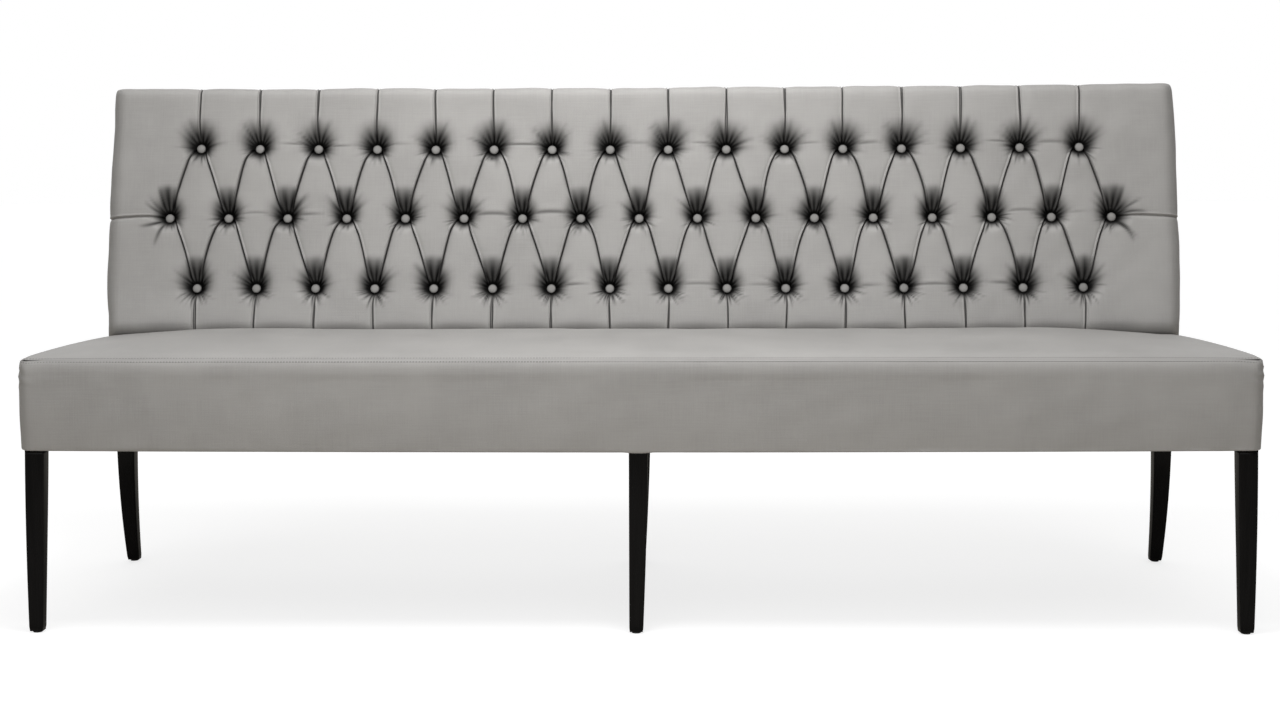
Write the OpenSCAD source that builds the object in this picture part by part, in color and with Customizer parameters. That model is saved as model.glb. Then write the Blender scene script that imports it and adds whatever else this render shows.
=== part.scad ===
// Upholstered banquette bench with a deep-buttoned back
// X runs along the bench, Y from front to rear, Z up. The origin lies on the floor at the middle.

/* [Overall] */
// Overall width
bench_w = 2200; // [1900:10:2400]
// Overall depth, front of the seat to the top edge of the outside back
bench_d = 690; // [660:5:760]
// Overall height, floor to the top edge of the back
bench_h = 990; // [960:5:1060]
// Height of the lower edge of the apron above the floor
apron_h = 331; // [310:1:345]

/* [Legs] */
// Width of a front leg at its top
leg_w = 34; // [30:1:38]
// Depth of a front leg at its top
leg_d = 28; // [26:1:32]
// Width of a rear leg at its top
rear_leg_w = 37; // [32:1:40]
// Depth of a rear leg at its top
rear_leg_d = 30; // [26:1:32]
// Width of every foot
foot_w = 25; // [20:1:30]
// Depth of every foot
foot_d = 20; // [18:1:26]
// Distance from the apron's side to the top of a corner leg
leg_inset = 11; // [9:1:16]
// Outward splay of a corner leg at the floor
leg_splay = 6; // [0:1:10]
// Distance that a rear foot is swept back
rear_sweep = 55; // [20:1:80]
// Radius of the legs' long edges
leg_edge_r = 2.5; // [1:0.5:4]
// Diameter of a foot glide
glide_dia = 16; // [12:1:18]
// Thickness of a foot glide's pad
glide_t = 3; // [2:0.5:4]
// Diameter of the nail under a foot glide
glide_nail_dia = 2; // [1.6:0.1:2.4]
// Length of the nail under a foot glide
glide_nail_len = 14; // [10:1:18]

/* [Seat frame] */
// Thickness of the seat rails
rail_t = 18; // [15:1:20]
// Height of the seat rails
rail_h = 70; // [60:1:80]
// Length of the blocks that the legs are bolted to
leg_block_l = 46; // [44:1:60]
// Depth of the rear leg blocks and of the stiles at the seat
stile_foot_d = 26; // [24:1:28]
// Thread diameter of the leg bolts
leg_bolt_dia = 6; // [5:0.5:7]
// Depth of a leg bolt inside its leg
leg_bolt_in_leg = 45; // [30:5:60]

/* [Webbing] */
// Width of a webbing strap
strap_w = 50; // [40:5:55]
// Thickness of a webbing strap
strap_t = 1.3; // [1:0.1:1.5]
// Number of short straps in each bay
strap_short_n = 9; // [6:1:10]
// Number of long straps in each bay
strap_long_n = 4; // [3:1:5]

/* [Covers and padding] */
// Thickness of the seat's foam block, which sets how high the seat stands above its frame
foam_t = 76; // [66:2:96]
// Radius of the seat's upright front corners
corner_r = 24; // [16:1:24]
// Thickness of the cover material
cover_t = 1.4; // [1:0.1:2]
// Thickness of the wadding on the seat's border
wadding_t = 4.4; // [3:0.2:6]
// Rise of the seat's crown above its seam
seat_crown = 17; // [8:1:25]
// Rise of the seat panel's rolled edge above its seam
seat_roll = 7; // [4:1:10]
// Fall of the seat's seam along each end, from the front to the back
seam_fall = 6; // [2:0.5:8]
// Depth of the seat panel and its wadding below the seam
seat_panel_t = 12; // [8:1:16]
// Thickness of the dust cover under the seat
dust_cover_t = 0.8; // [0.6:0.1:1.2]

/* [Back] */
// Angle that the back leans from upright
back_lean = 13; // [9:0.5:14]
// Thickness of the back, square to its slope
back_t = 70; // [66:1:80]
// Depth of the back frame, square to its slope
back_frame_d = 22; // [20:1:24]
// Thickness of the drilled back board
board_t = 6; // [5:0.5:8]
// Width of a back stile
stile_w = 22; // [18:1:26]
// Height of the back rails
back_rail_h = 38; // [30:1:44]
// Depth of the back rails that are let into the stiles
back_rail_d = 10; // [8:1:12]
// Amount that the back tucks in behind the seat
back_tuck = 16; // [14:1:17]

/* [Deep buttoning] */
// Number of buttons in the middle row
button_n = 17; // [13:2:19]
// Distance along the slope between two rows of buttons
row_gap = 147; // [140:1:155]
// Distance along the slope from the top edge to the top row of buttons
top_margin = 128; // [115:1:135]
// Height of the tufts above the pulled-down button seats' ground
tuft_h = 26; // [20:1:27]
// Height of a button seat above that ground
button_seat_h = 2; // [1.5:0.1:3]
// Diameter of a covered button
button_dia = 19; // [17:0.5:20]
// Height of a covered button's dome
button_dome_h = 4; // [3:0.5:5]
// Diameter of the button twine
twine_dia = 1.6; // [1:0.1:2]
// Diameter of the twine holes in the board and the foam
twine_hole_dia = 5; // [4:0.5:6]
// Diameter of the discs that hold the twine behind the board
twine_disc_dia = 14; // [12:1:15]
// Thickness of those discs
twine_disc_t = 1.5; // [1:0.1:2]

/* [Frame bolts] */
// Thread diameter of the bolts through the stiles
frame_bolt_dia = 8; // [6:1:8]
// Width across flats of their heads and nuts
frame_bolt_af = 13; // [10:1:13]
// Thickness of their heads and nuts
frame_nut_t = 5.5; // [4:0.5:6]
// Diameter of the washers
washer_dia = 17; // [16:0.5:18]
// Thickness of the washers
washer_t = 1.4; // [1:0.1:1.6]

/* [Hidden] */

// Fits and finishes
fit = 0.2;         // between two pieces that are seated on each other
over = 1;          // overrun of a cut
hole_gap = 0.3;    // between a bolt and its hole, on the radius
round_n = 32;      // facets of round pieces

// Levels and planes of the seat
front_y = -bench_d / 2;
half_w = bench_w / 2;
inner_skin = cover_t + fit;
frame_in = inner_skin + wadding_t + fit;
frame_z = apron_h + dust_cover_t + 2 * fit;
frame_top = frame_z + rail_h;
strap_z = frame_top + fit;
strap_step = strap_t + fit;
deck_z = strap_z + 2 * strap_step + fit;
panel_z = deck_z + foam_t + fit;
seam_h = panel_z + seat_panel_t;
rail_front_y = front_y + frame_in;

// The back's own frame: y 0 on the outside back, z up the slope
ground_d = back_t - tuft_h;
button_ground_d = ground_d + fit;
back_top_s = (bench_h - apron_h - button_ground_d * sin(back_lean)) / cos(back_lean);
back_y = bench_d / 2 - back_top_s * sin(back_lean);
board_back_d = inner_skin + back_frame_d + fit;
board_front_d = board_back_d + board_t;
foam_back_d = board_front_d + fit;
seat_end_d = back_t - back_tuck;
panel_half_w = half_w - inner_skin;

// Height along the slope of a level, on a plane that lies d in front of the outside back
function slope_at(z, d) = (z - apron_h - d * sin(back_lean)) / cos(back_lean);
// Y of that plane at a level
function plane_y(z, d) = back_y - d * cos(back_lean) + slope_at(z, d) * sin(back_lean);
// Y and Z of a point given in the back's own frame
function slope_point(s, d) = [
    back_y - d * cos(back_lean) + s * sin(back_lean),
    apron_h + d * sin(back_lean) + s * cos(back_lean)];

// Rear rail, stiles and rear legs, from the rear forwards
stile_rear_y = back_y - inner_skin - frame_nut_t - washer_t;
stile_front_y = stile_rear_y - stile_foot_d;
rear_rail_y = stile_front_y - fit - rail_t;

// Legs
leg_top = frame_z - fit;
leg_rings = 11;
leg_corner_n = 3;
leg_bend_power = 1.85;
leg_taper_power = 1.5;
front_leg_y = front_y + leg_inset;
rear_leg_y = back_y - rear_leg_d;
leg_bolt_back = 21.5;
leg_hole_end = 2;
glide_fit = 0.2;

// Button lattice: half a pitch across, one row gap up the slope
half_pitch = panel_half_w / (button_n + 1);
row_top_s = back_top_s - top_margin;
row_mid_s = row_top_s - row_gap;
row_low_s = row_mid_s - row_gap;
panel_low_s = slope_at(panel_z, button_ground_d);
seat_line_s = slope_at(seam_h + seat_crown, back_t);
cells = 3;
valley_share = 0.36;
puff_power = 0.8;
third_rise = (tuft_h - button_seat_h)
    * (valley_share + (1 - valley_share) * pow(sin(90 / cells), puff_power));
button_cone = button_dia / 2 * third_rise / (half_pitch / cells) * 1.06;
button_rim = 1;

// Back frame places
board_low_s = slope_at(deck_z, foam_back_d) + back_rail_h / 3;
frame_top_s = back_top_s - inner_skin;
bottom_rail_s = board_low_s + fit;
middle_rail_s = (row_low_s + row_mid_s - back_rail_h) / 2;
outer_stile_x = half_w - frame_in - leg_block_l - fit - stile_w / 2;
mid_stile_x = 5.5 * half_pitch;
bolt_rise_shares = [0.26, 0.74];

module tilt() {
    translate([0, back_y, apron_h]) rotate([-back_lean, 0, 0]) children();
}

// A box in the back's own frame, from d0 to d1 in front of the outside back
module back_slab(w, d0, d1, s0, s1) {
    translate([-w / 2, -d1, s0]) cube([w, d1 - d0, s1 - s0]);
}

// Legs: rounded sections that taper and bend from the seat to the floor
function ring_point(k, w, d, r) =
    let (corner = floor(k / leg_corner_n), step = k % leg_corner_n)
    let (a = 90 * (corner + step / (leg_corner_n - 1)))
    let (sx = (corner == 0 || corner == 3) ? 1 : -1, sy = corner < 2 ? 1 : -1)
    [sx * (w / 2 - r) + r * cos(a), sy * (d / 2 - r) + r * sin(a)];

function taper(t) = pow(t, leg_taper_power);
function mix(a, b, t) = a + (b - a) * t;

// side is -1 or 1 for the outer edge's side, edge_x its place at the top
module leg(side, edge_x, splay, face_y, top_w, top_d, sweep, bolt) {
    n = 4 * leg_corner_n;
    points = [for (i = [0 : leg_rings - 1])
        let (t = i / (leg_rings - 1))
        let (w = mix(top_w, foot_w, taper(t)), d = mix(top_d, foot_d, taper(t)))
        let (cx = side * (edge_x + splay * t * (2 - t) - w / 2))
        let (cy = face_y + sweep * pow(t, leg_bend_power) + d / 2)
        for (k = [0 : n - 1])
            let (p = ring_point(k, w, d, leg_edge_r))
            [cx + p[0], cy + p[1], mix(leg_top, glide_t, t)]];
    walls = [for (i = [0 : leg_rings - 2], k = [0 : n - 1])
        let (a = i * n + k, b = i * n + (k + 1) % n)
        each [[a, b, b + n], [a, b + n, a + n]]];
    foot = [side * (edge_x + splay - foot_w / 2), face_y + sweep + foot_d / 2, glide_t];
    color([0.05, 0.05, 0.055]) difference() {
        polyhedron(points, concat(walls,
            [[for (k = [n - 1 : -1 : 0]) k], [for (k = [0 : n - 1]) (leg_rings - 1) * n + k]]));
        translate([bolt[0], bolt[1], leg_top - leg_bolt_in_leg - leg_hole_end])
            cylinder(h = leg_bolt_in_leg + leg_hole_end + over, d = leg_bolt_dia + 2 * hole_gap,
                $fn = round_n);
        translate(foot - [0, 0, over])
            cylinder(h = glide_nail_len + leg_hole_end + over, d = glide_nail_dia + 2 * glide_fit,
                $fn = round_n);
    }
}

// Outer edge of a corner leg and of a centre leg
corner_edge = half_w - leg_inset;
corner_bolt_x = corner_edge - leg_bolt_back;
front_bolt_y = front_leg_y + leg_bolt_back;
rear_bolt_y = stile_front_y + stile_foot_d / 2;

module front_leg(side) {
    leg(side, corner_edge, leg_splay, front_leg_y, leg_w, leg_d, 0, [side * corner_bolt_x, front_bolt_y]);
}
module rear_leg(side) {
    leg(side, corner_edge, leg_splay, rear_leg_y, rear_leg_w, rear_leg_d, rear_sweep,
        [side * corner_bolt_x, rear_bolt_y]);
}

module leg_front_left() front_leg(-1);
module leg_front_right() front_leg(1);
module leg_front_centre() leg(-1, leg_w / 2, 0, front_leg_y, leg_w, leg_d, 0, [0, front_bolt_y]);
module leg_rear_left() rear_leg(-1);
module leg_rear_right() rear_leg(1);
module leg_rear_centre() {
    leg(-1, rear_leg_w / 2, 0, rear_leg_y, rear_leg_w, rear_leg_d, rear_sweep, [0, rear_bolt_y]);
}

corner_foot_x = corner_edge + leg_splay - foot_w / 2;
front_foot_y = front_leg_y + foot_d / 2;
rear_foot_y = rear_leg_y + rear_sweep + foot_d / 2;
feet = [
    for (side = [-1, 1]) each [[side * corner_foot_x, front_foot_y], [side * corner_foot_x, rear_foot_y]],
    [-(leg_w - foot_w) / 2, front_foot_y], [-(rear_leg_w - foot_w) / 2, rear_foot_y]
];

module foot_glides() {
    color([0.12, 0.12, 0.12]) for (p = feet) translate([p[0], p[1], 0]) {
        cylinder(h = glide_t - glide_fit, d = glide_dia, $fn = round_n);
        cylinder(h = glide_t + glide_nail_len, d = glide_nail_dia, $fn = round_n);
    }
}

// Blocks, bolts and nuts that hold the legs; the nuts stay below the webbing
leg_nut_t = 4.5;
leg_nut_af = 10;
leg_washer_dia = 15;
bolt_proud = 1;
leg_block_h = rail_h - washer_t - leg_nut_t - bolt_proud - 3 * fit - strap_step;
front_block_y = rail_front_y + rail_t + fit;
rear_block_y = stile_front_y;

module leg_block(x, y, w, d, bolt) {
    color([0.76, 0.62, 0.42]) difference() {
        translate([x, y, frame_z]) cube([w, d, leg_block_h]);
        translate([bolt[0], bolt[1], frame_z - over])
            cylinder(h = leg_block_h + 2 * over, d = leg_bolt_dia + 2 * hole_gap, $fn = round_n);
    }
}

side_block_x = half_w - frame_in - rail_t - fit;
rear_block_x = half_w - frame_in;
module front_block(side) {
    x = side < 0 ? -side_block_x : side_block_x - leg_block_l;
    leg_block(x, front_block_y, leg_block_l, leg_block_l, [side * corner_bolt_x, front_bolt_y]);
}
module rear_block(side) {
    x = side < 0 ? -rear_block_x : rear_block_x - leg_block_l;
    leg_block(x, rear_block_y, leg_block_l, stile_foot_d, [side * corner_bolt_x, rear_bolt_y]);
}
module leg_block_front_left() front_block(-1);
module leg_block_front_right() front_block(1);
module leg_block_rear_left() rear_block(-1);
module leg_block_rear_right() rear_block(1);
module leg_block_front_centre() {
    leg_block(-leg_block_l / 2, front_block_y, leg_block_l, leg_block_l, [0, front_bolt_y]);
}
module leg_block_rear_centre() {
    leg_block(-leg_block_l / 2, rear_block_y, leg_block_l, stile_foot_d, [0, rear_bolt_y]);
}

leg_bolt_places = [for (x = [-corner_bolt_x, 0, corner_bolt_x], y = [front_bolt_y, rear_bolt_y]) [x, y]];

module hex(af, h) {
    cylinder(h = h, d = af / cos(30), $fn = 6);
}
module leg_bolts() {
    h = leg_bolt_in_leg + fit + leg_block_h + fit + washer_t + leg_nut_t + bolt_proud;
    color([0.7, 0.7, 0.72]) for (p = leg_bolt_places)
        translate([p[0], p[1], leg_top - leg_bolt_in_leg]) cylinder(h = h, d = leg_bolt_dia, $fn = round_n);
}
module leg_nuts() {
    color([0.72, 0.72, 0.74]) for (p = leg_bolt_places)
        translate([p[0], p[1], frame_z + leg_block_h + fit]) difference() {
            union() {
                cylinder(h = washer_t, d = leg_washer_dia, $fn = round_n);
                translate([0, 0, washer_t]) hex(leg_nut_af, leg_nut_t);
            }
            translate([0, 0, -over])
                cylinder(h = leg_nut_t + washer_t + 2 * over, d = leg_bolt_dia + hole_gap, $fn = round_n);
        }
}

// Seat frame
module rail(x, y, w, d) {
    color([0.8, 0.66, 0.46]) translate([x, y, frame_z]) cube([w, d, rail_h]);
}
frame_half_w = half_w - frame_in;
side_rail_y = rail_front_y + rail_t + fit;
rear_rail_end = rear_rail_y + rail_t;

module seat_front_rail() {
    round_front(frame_z, frame_top) rail(-frame_half_w, rail_front_y, 2 * frame_half_w, rail_t);
}
module seat_left_rail() rail(-frame_half_w, side_rail_y, rail_t, rear_rail_end - side_rail_y);
module seat_right_rail() rail(frame_half_w - rail_t, side_rail_y, rail_t, rear_rail_end - side_rail_y);
module seat_cross_rail() {
    y = front_block_y + leg_block_l + fit;
    rail(-rail_t / 2, y, rail_t, rear_rail_y - fit - y);
}
module seat_rear_rail() {
    difference() {
        rail(-side_block_x, rear_rail_y, 2 * side_block_x, rail_t);
        stile_bolt_holes();
    }
}

stile_places = [-outer_stile_x, -mid_stile_x, mid_stile_x, outer_stile_x];
module at_stile_bolts(y) {
    for (x = stile_places, share = bolt_rise_shares)
        translate([x, y, frame_z + share * rail_h]) rotate([-90, 0, 0]) children();
}
module stile_bolt_holes() {
    at_stile_bolts(rear_rail_y - over)
        cylinder(h = stile_rear_y - rear_rail_y + 2 * over, d = frame_bolt_dia + 2 * hole_gap,
            $fn = round_n);
}

// Webbing: short straps lie flat and the long ones pass over and under them in turn
bay_start = rail_t / 2;
bay_end = frame_half_w - rail_t;
short_pitch = (bay_end - bay_start) / strap_short_n;
long_pitch = (rear_rail_y - side_rail_y) / strap_long_n;
strap_rest = rail_t * 2 / 3;
strap_bend = 3 * strap_t;

function strap_line(j) = concat(
    [[fit, 0], [bay_start + strap_bend, 0]],
    [for (i = [0 : strap_short_n - 1], edge = [-1, 1])
        [bay_start + (i + 0.5) * short_pitch + edge * (strap_w / 2 + strap_bend),
            ((i + j) % 2 == 0 ? 1 : -1) * strap_step]],
    [[bay_end - strap_bend, 0], [bay_end + strap_rest, 0]]);

module webbing(side) {
    color([0.16, 0.15, 0.14]) {
        for (i = [0 : strap_short_n - 1])
            let (x = side * (bay_start + (i + 0.5) * short_pitch))
            translate([x - strap_w / 2, side_rail_y - strap_rest, strap_z])
                cube([strap_w, rear_rail_y - side_rail_y + 2 * strap_rest, strap_t]);
        for (j = [0 : strap_long_n - 1])
            let (line = strap_line(j), last = len(line) - 1)
            translate([0, side_rail_y + (j + 0.5) * long_pitch + strap_w / 2, strap_z]) rotate([90, 0, 0])
                linear_extrude(strap_w) polygon(concat(
                    [for (p = line) [side * p[0], p[1]]],
                    [for (k = [last : -1 : 0]) [side * line[k][0], line[k][1] + strap_t]]));
    }
}
module webbing_left() webbing(-1);
module webbing_right() webbing(1);

// A solid with one side profile across the bench
module across(half, outline) {
    translate([-half, 0, 0]) rotate([90, 0, 90]) linear_extrude(2 * half) polygon(outline);
}

// Seat padding and covers
module seat_foam() {
    top = panel_z - fit;
    color([0.93, 0.87, 0.66]) round_front(deck_z, top) across(frame_half_w, [
        [rail_front_y, deck_z], [rail_front_y, top],
        [plane_y(top, seat_end_d), top], [plane_y(deck_z, seat_end_d), deck_z]]);
}

// Side outline of the seat's border, from one level up to another that falls towards the back
function border_outline(low, high, fall, rear_d) = [
    [front_y - over, low], [front_y - over, high], [front_y + corner_r, high],
    [plane_y(high - fall, seat_end_d), high - fall], [plane_y(deck_z, seat_end_d), deck_z],
    [plane_y(deck_z, rear_d), deck_z], [plane_y(low, rear_d), low]];

// Plan of the seat some way inside its outer face, with rounded front corners
module seat_plan(inset) {
    r = corner_r - inset;
    hull() {
        for (side = [-1, 1])
            translate([side * (half_w - corner_r), front_y + corner_r]) circle(r = r, $fn = round_n);
        translate([inset - half_w, 0]) square([2 * (half_w - inset), bench_d / 2 + inset]);
    }
}
// Rounds the front corners of a piece of the frame or the foam
module round_front(low, high) {
    intersection() {
        children();
        translate([0, 0, low - over]) linear_extrude(high - low + 2 * over) seat_plan(frame_in);
    }
}

// A band round the front and the two ends of the seat, less the plan of what it encloses
module border_band(inset, low, high, fall) {
    intersection() {
        across(half_w + over, border_outline(low, high, fall, inner_skin));
        translate([0, 0, low - over]) linear_extrude(high - low + 2 * over) difference() {
            seat_plan(inset);
            children();
        }
    }
}
module seat_wadding() {
    color([0.95, 0.95, 0.93]) border_band(inner_skin, frame_z, panel_z - fit, 0)
        seat_plan(inner_skin + wadding_t);
}
module seat_border_cover() {
    color([0.6, 0.59, 0.57]) border_band(0, apron_h, seam_h, seam_fall) seat_plan(cover_t);
}

// Seat panel: its front rolls down to the seam, its middle is crowned and its ends fall away
panel_x_shares = let (half = [corner_r / (2 * panel_half_w), 0.014, 0.03, 0.055, 0.09, 0.13, 0.25, 0.375])
    concat([0], half, [0.5], [for (k = [len(half) - 1 : -1 : 0]) 1 - half[k]], [1]);
panel_y_shares = [0, 0.023, 0.05, 0.12, 0.3, 0.5, 0.7, 0.86, 0.965, 1];
panel_end_share = 0.13;    // share of the seat's length over which each end falls away
panel_crown_power = 0.8;

// Distance that the panel's end lies inside its widest line, dy behind the front edge
function end_cut(dy) = let (r = corner_r - inner_skin) r - sqrt(pow(r, 2) - pow(max(0, r - dy), 2));
panel_corner_cut = (corner_r - inner_skin) * (1 - sqrt(0.5));

module seat_top_cover() {
    nx = len(panel_x_shares);
    ny = len(panel_y_shares);
    y0 = front_y + inner_skin;
    y1 = plane_y(seam_h, seat_end_d);
    y1_low = plane_y(panel_z, seat_end_d);
    top = [for (v = panel_y_shares, u = panel_x_shares)
        let (side = u == 0 ? 1 : u == 1 ? -1 : 0, corner = v == 0 && side != 0)
        let (cut = corner ? panel_corner_cut : end_cut(v * (y1 - y0)))
        let (middle = 1 - pow(1 - min(1, min(u, 1 - u) / panel_end_share), 2))
        let (crown = seat_roll + (seat_crown - seat_roll) * pow(4 * v * (1 - v), panel_crown_power))
        [mix(-panel_half_w, panel_half_w, u) + side * cut, mix(y0, y1, v) + (corner ? cut : 0),
            seam_h - seam_fall * v * (1 - middle) + (v == 0 || v == 1 ? 0 : crown * middle)]];
    rim = concat(
        [for (i = [0 : nx - 1]) i], [for (j = [1 : ny - 1]) j * nx + nx - 1],
        [for (i = [nx - 2 : -1 : 0]) (ny - 1) * nx + i], [for (j = [ny - 2 : -1 : 1]) j * nx]);
    n = len(rim);
    low = [for (k = rim) let (p = top[k]) [p[0], p[1] >= y1 ? y1_low : min(p[1], y1_low), panel_z]];
    middle = [0, (y0 + y1_low) / 2, panel_z];
    base = nx * ny;
    color([0.63, 0.62, 0.6]) polyhedron(concat(top, low, [middle]), concat(
        [for (j = [0 : ny - 2], i = [0 : nx - 2])
            let (a = j * nx + i, b = a + 1, c = b + nx, d = a + nx)
            each ((i < nx / 2 - 1) == (j < ny / 2 - 1) ? [[a, d, c], [a, c, b]] : [[a, d, b], [d, c, b]])],
        [for (k = [0 : n - 1]) let (m = (k + 1) % n)
            each [[rim[k], rim[m], base + m], [rim[k], base + m, base + k]]],
        [for (k = [0 : n - 1]) [base + k, base + (k + 1) % n, base + n]]));
}

module dust_cover() {
    rear = plane_y(apron_h, inner_skin);
    color([0.07, 0.07, 0.07]) difference() {
        translate([0, 0, apron_h]) linear_extrude(dust_cover_t) intersection() {
            seat_plan(inner_skin);
            translate([-half_w, front_y]) square([bench_w, rear - front_y]);
        }
        leg_openings(front_leg_y, leg_w, leg_d);
        leg_openings(rear_leg_y, rear_leg_w, rear_leg_d);
    }
}
// Openings in the dust cover for one row of legs
module leg_openings(face_y, w, d) {
    for (side = [-1, 0, 1])
        translate([side * (corner_edge - w / 2) - w / 2 - fit, face_y - fit, apron_h - over])
            cube([w + 2 * fit, d + 2 * fit, dust_cover_t + 2 * over]);
}

// Back frame
back_rail_front_d = board_back_d - fit;
module back_rail(s, d0) {
    color([0.8, 0.66, 0.46]) tilt()
        back_slab(2 * panel_half_w, d0, back_rail_front_d, s, s + back_rail_h);
}
module back_rail_notch(s) {
    tilt() back_slab(bench_w, back_rail_front_d - back_rail_d - fit, back_t,
        s - fit, s + back_rail_h + fit);
}
top_rail_s = frame_top_s - back_rail_h;

module back_bottom_rail() back_rail(bottom_rail_s, back_rail_front_d - back_rail_d);
module back_middle_rail() back_rail(middle_rail_s, back_rail_front_d - back_rail_d);
module back_top_rail() back_rail(top_rail_s, inner_skin);

module stile(x) {
    knee = frame_top + fit;
    color([0.78, 0.64, 0.44]) difference() {
        translate([x, 0, 0]) across(stile_w / 2, [
            [stile_front_y, frame_z], [stile_front_y, knee],
            slope_point(slope_at(deck_z, back_rail_front_d), back_rail_front_d),
            slope_point(top_rail_s - fit, back_rail_front_d), slope_point(top_rail_s - fit, inner_skin),
            slope_point(bottom_rail_s, inner_skin), [stile_rear_y, frame_top], [stile_rear_y, frame_z]]);
        back_rail_notch(bottom_rail_s);
        back_rail_notch(middle_rail_s);
        stile_bolt_holes();
    }
}
module stile_left() stile(-outer_stile_x);
module stile_mid_left() stile(-mid_stile_x);
module stile_mid_right() stile(mid_stile_x);
module stile_right() stile(outer_stile_x);

module stile_bolts() {
    h = stile_rear_y - rear_rail_y + fit + washer_t + frame_nut_t + bolt_proud;
    color([0.7, 0.7, 0.72]) at_stile_bolts(rear_rail_y - fit) {
        cylinder(h = h + fit, d = frame_bolt_dia, $fn = round_n);
        translate([0, 0, -frame_nut_t]) hex(frame_bolt_af, frame_nut_t);
    }
}
module stile_nuts() {
    color([0.72, 0.72, 0.74]) at_stile_bolts(stile_rear_y + fit) difference() {
        union() {
            cylinder(h = washer_t, d = washer_dia, $fn = round_n);
            translate([0, 0, washer_t]) hex(frame_bolt_af, frame_nut_t);
        }
        translate([0, 0, -over])
            cylinder(h = washer_t + frame_nut_t + 2 * over, d = frame_bolt_dia + hole_gap, $fn = round_n);
    }
}

// Buttons stand in three rows; the outer two rows are offset by half a pitch
mid_row_half = (button_n - 1) / 2;
button_places = concat(
    [for (s = [row_low_s, row_top_s], k = [0 : button_n - 2])
        [(k - mid_row_half + 0.5) * 2 * half_pitch, s]],
    [for (k = [0 : button_n - 1]) [(k - mid_row_half) * 2 * half_pitch, row_mid_s]]);

module drilled_sheet(d, t, low, high, hole) {
    tilt() translate([0, -d, 0]) rotate([90, 0, 0]) linear_extrude(t) difference() {
        translate([-panel_half_w, low]) square([2 * panel_half_w, high - low]);
        for (p = button_places) translate(p) circle(d = hole, $fn = round_n);
    }
}
module back_board() {
    color([0.82, 0.7, 0.5]) drilled_sheet(board_back_d, board_t, board_low_s, frame_top_s, twine_hole_dia);
}
module back_foam() {
    color([0.93, 0.87, 0.66])
        drilled_sheet(foam_back_d, ground_d - foam_back_d, board_low_s, frame_top_s, twine_hole_dia);
}

// Distance from the nearest middle-row column, 0 on it and 1 midway
function off_mid(c) = let (m = abs(c) % 2) min(m, 2 - m);
// Distance from the nearest fold, 0 on it and 1 at the height of a tuft
function off_fold(c, s) =
    abs(c) > button_n - 1 ? min(1, abs(s - row_mid_s) * cells / row_gap)
    : s >= row_top_s || s <= row_low_s ? 1 - off_mid(c)
    : s >= row_mid_s ? abs(off_mid(c) - (s - row_mid_s) / row_gap)
    : abs(1 - off_mid(c) - (s - row_low_s) / row_gap);
function same(a, b) = abs(a - b) < 0.001 * abs(row_gap);
function on_button(c, s) =
    abs(c) < button_n - 0.5
    && ((same(s, row_mid_s) && off_mid(c) < 0.01)
        || ((same(s, row_top_s) || same(s, row_low_s)) && off_mid(c) > 0.99));
function tuft(c, s) = on_button(c, s) ? button_seat_h
    : button_seat_h + (tuft_h - button_seat_h)
        * (valley_share + (1 - valley_share) * pow(sin(90 * min(1, off_fold(c, s))), puff_power));

// The tufted cover with its wadding: full between the folds, pulled down at every button
end_column_shares = [0.35, 0.7, 1];
low_edge_share = 0.5;
high_edge_share = 0.86;
side_edge_share = 0.93;
crest_shares = [0.45, 0.86, 1];

module tufted_cover() {
    inner = button_n - 1;
    ends = [for (u = end_column_shares) inner + 2 * u];
    columns = concat([for (k = [len(ends) - 1 : -1 : 0]) -ends[k]],
        [for (k = [-inner * cells : inner * cells]) k / cells], ends);
    rows = concat([panel_low_s, seat_line_s],
        [for (base = [row_low_s, row_mid_s], k = [0 : cells - 1]) base + k * row_gap / cells],
        [row_top_s], [for (u = crest_shares) row_top_s + u * top_margin]);
    nc = len(columns);
    nr = len(rows);
    function row_share(j) = j == 1 ? low_edge_share : j == nr - 2 ? high_edge_share : 1;
    function column_share(i) = (i == 1 || i == nc - 2) ? side_edge_share : 1;
    points = [for (j = [0 : nr - 1], i = [0 : nc - 1])
        let (rim = i == 0 || i == nc - 1 || j == 0 || j == nr - 1)
        [columns[i] * half_pitch,
            -button_ground_d - (rim ? 0 : tuft(columns[i], rows[j]) * row_share(j) * column_share(i)),
            rows[j]]];
    rim = concat(
        [for (i = [0 : nc - 1]) i], [for (j = [1 : nr - 1]) j * nc + nc - 1],
        [for (i = [nc - 2 : -1 : 0]) (nr - 1) * nc + i], [for (j = [nr - 2 : -1 : 1]) j * nc]);
    middle = [0, -button_ground_d, (panel_low_s + back_top_s) / 2];
    // Whether a cell's fold climbs to the right
    function climbs(i, j) =
        let (s = (rows[j] + rows[j + 1]) / 2, block = floor((columns[i] + columns[i + 1]) / 2))
        let (even = abs(block) % 2 == 0)
        abs(columns[i] + columns[i + 1]) / 2 > inner || s > row_top_s || s < row_low_s
            ? (i < nc / 2 - 1) == (j < nr / 2 - 1)
            : s > row_mid_s ? even : !even;
    color([0.62, 0.61, 0.59]) tilt() polyhedron(concat(points, [middle]), concat(
        [for (j = [0 : nr - 2], i = [0 : nc - 2])
            let (a = j * nc + i, b = a + 1, c = b + nc, d = a + nc)
            each (climbs(i, j) ? [[a, d, c], [a, c, b]] : [[a, d, b], [d, c, b]])],
        [for (k = [0 : len(rim) - 1]) [rim[k], rim[(k + 1) % len(rim)], nc * nr]]));
}

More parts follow.
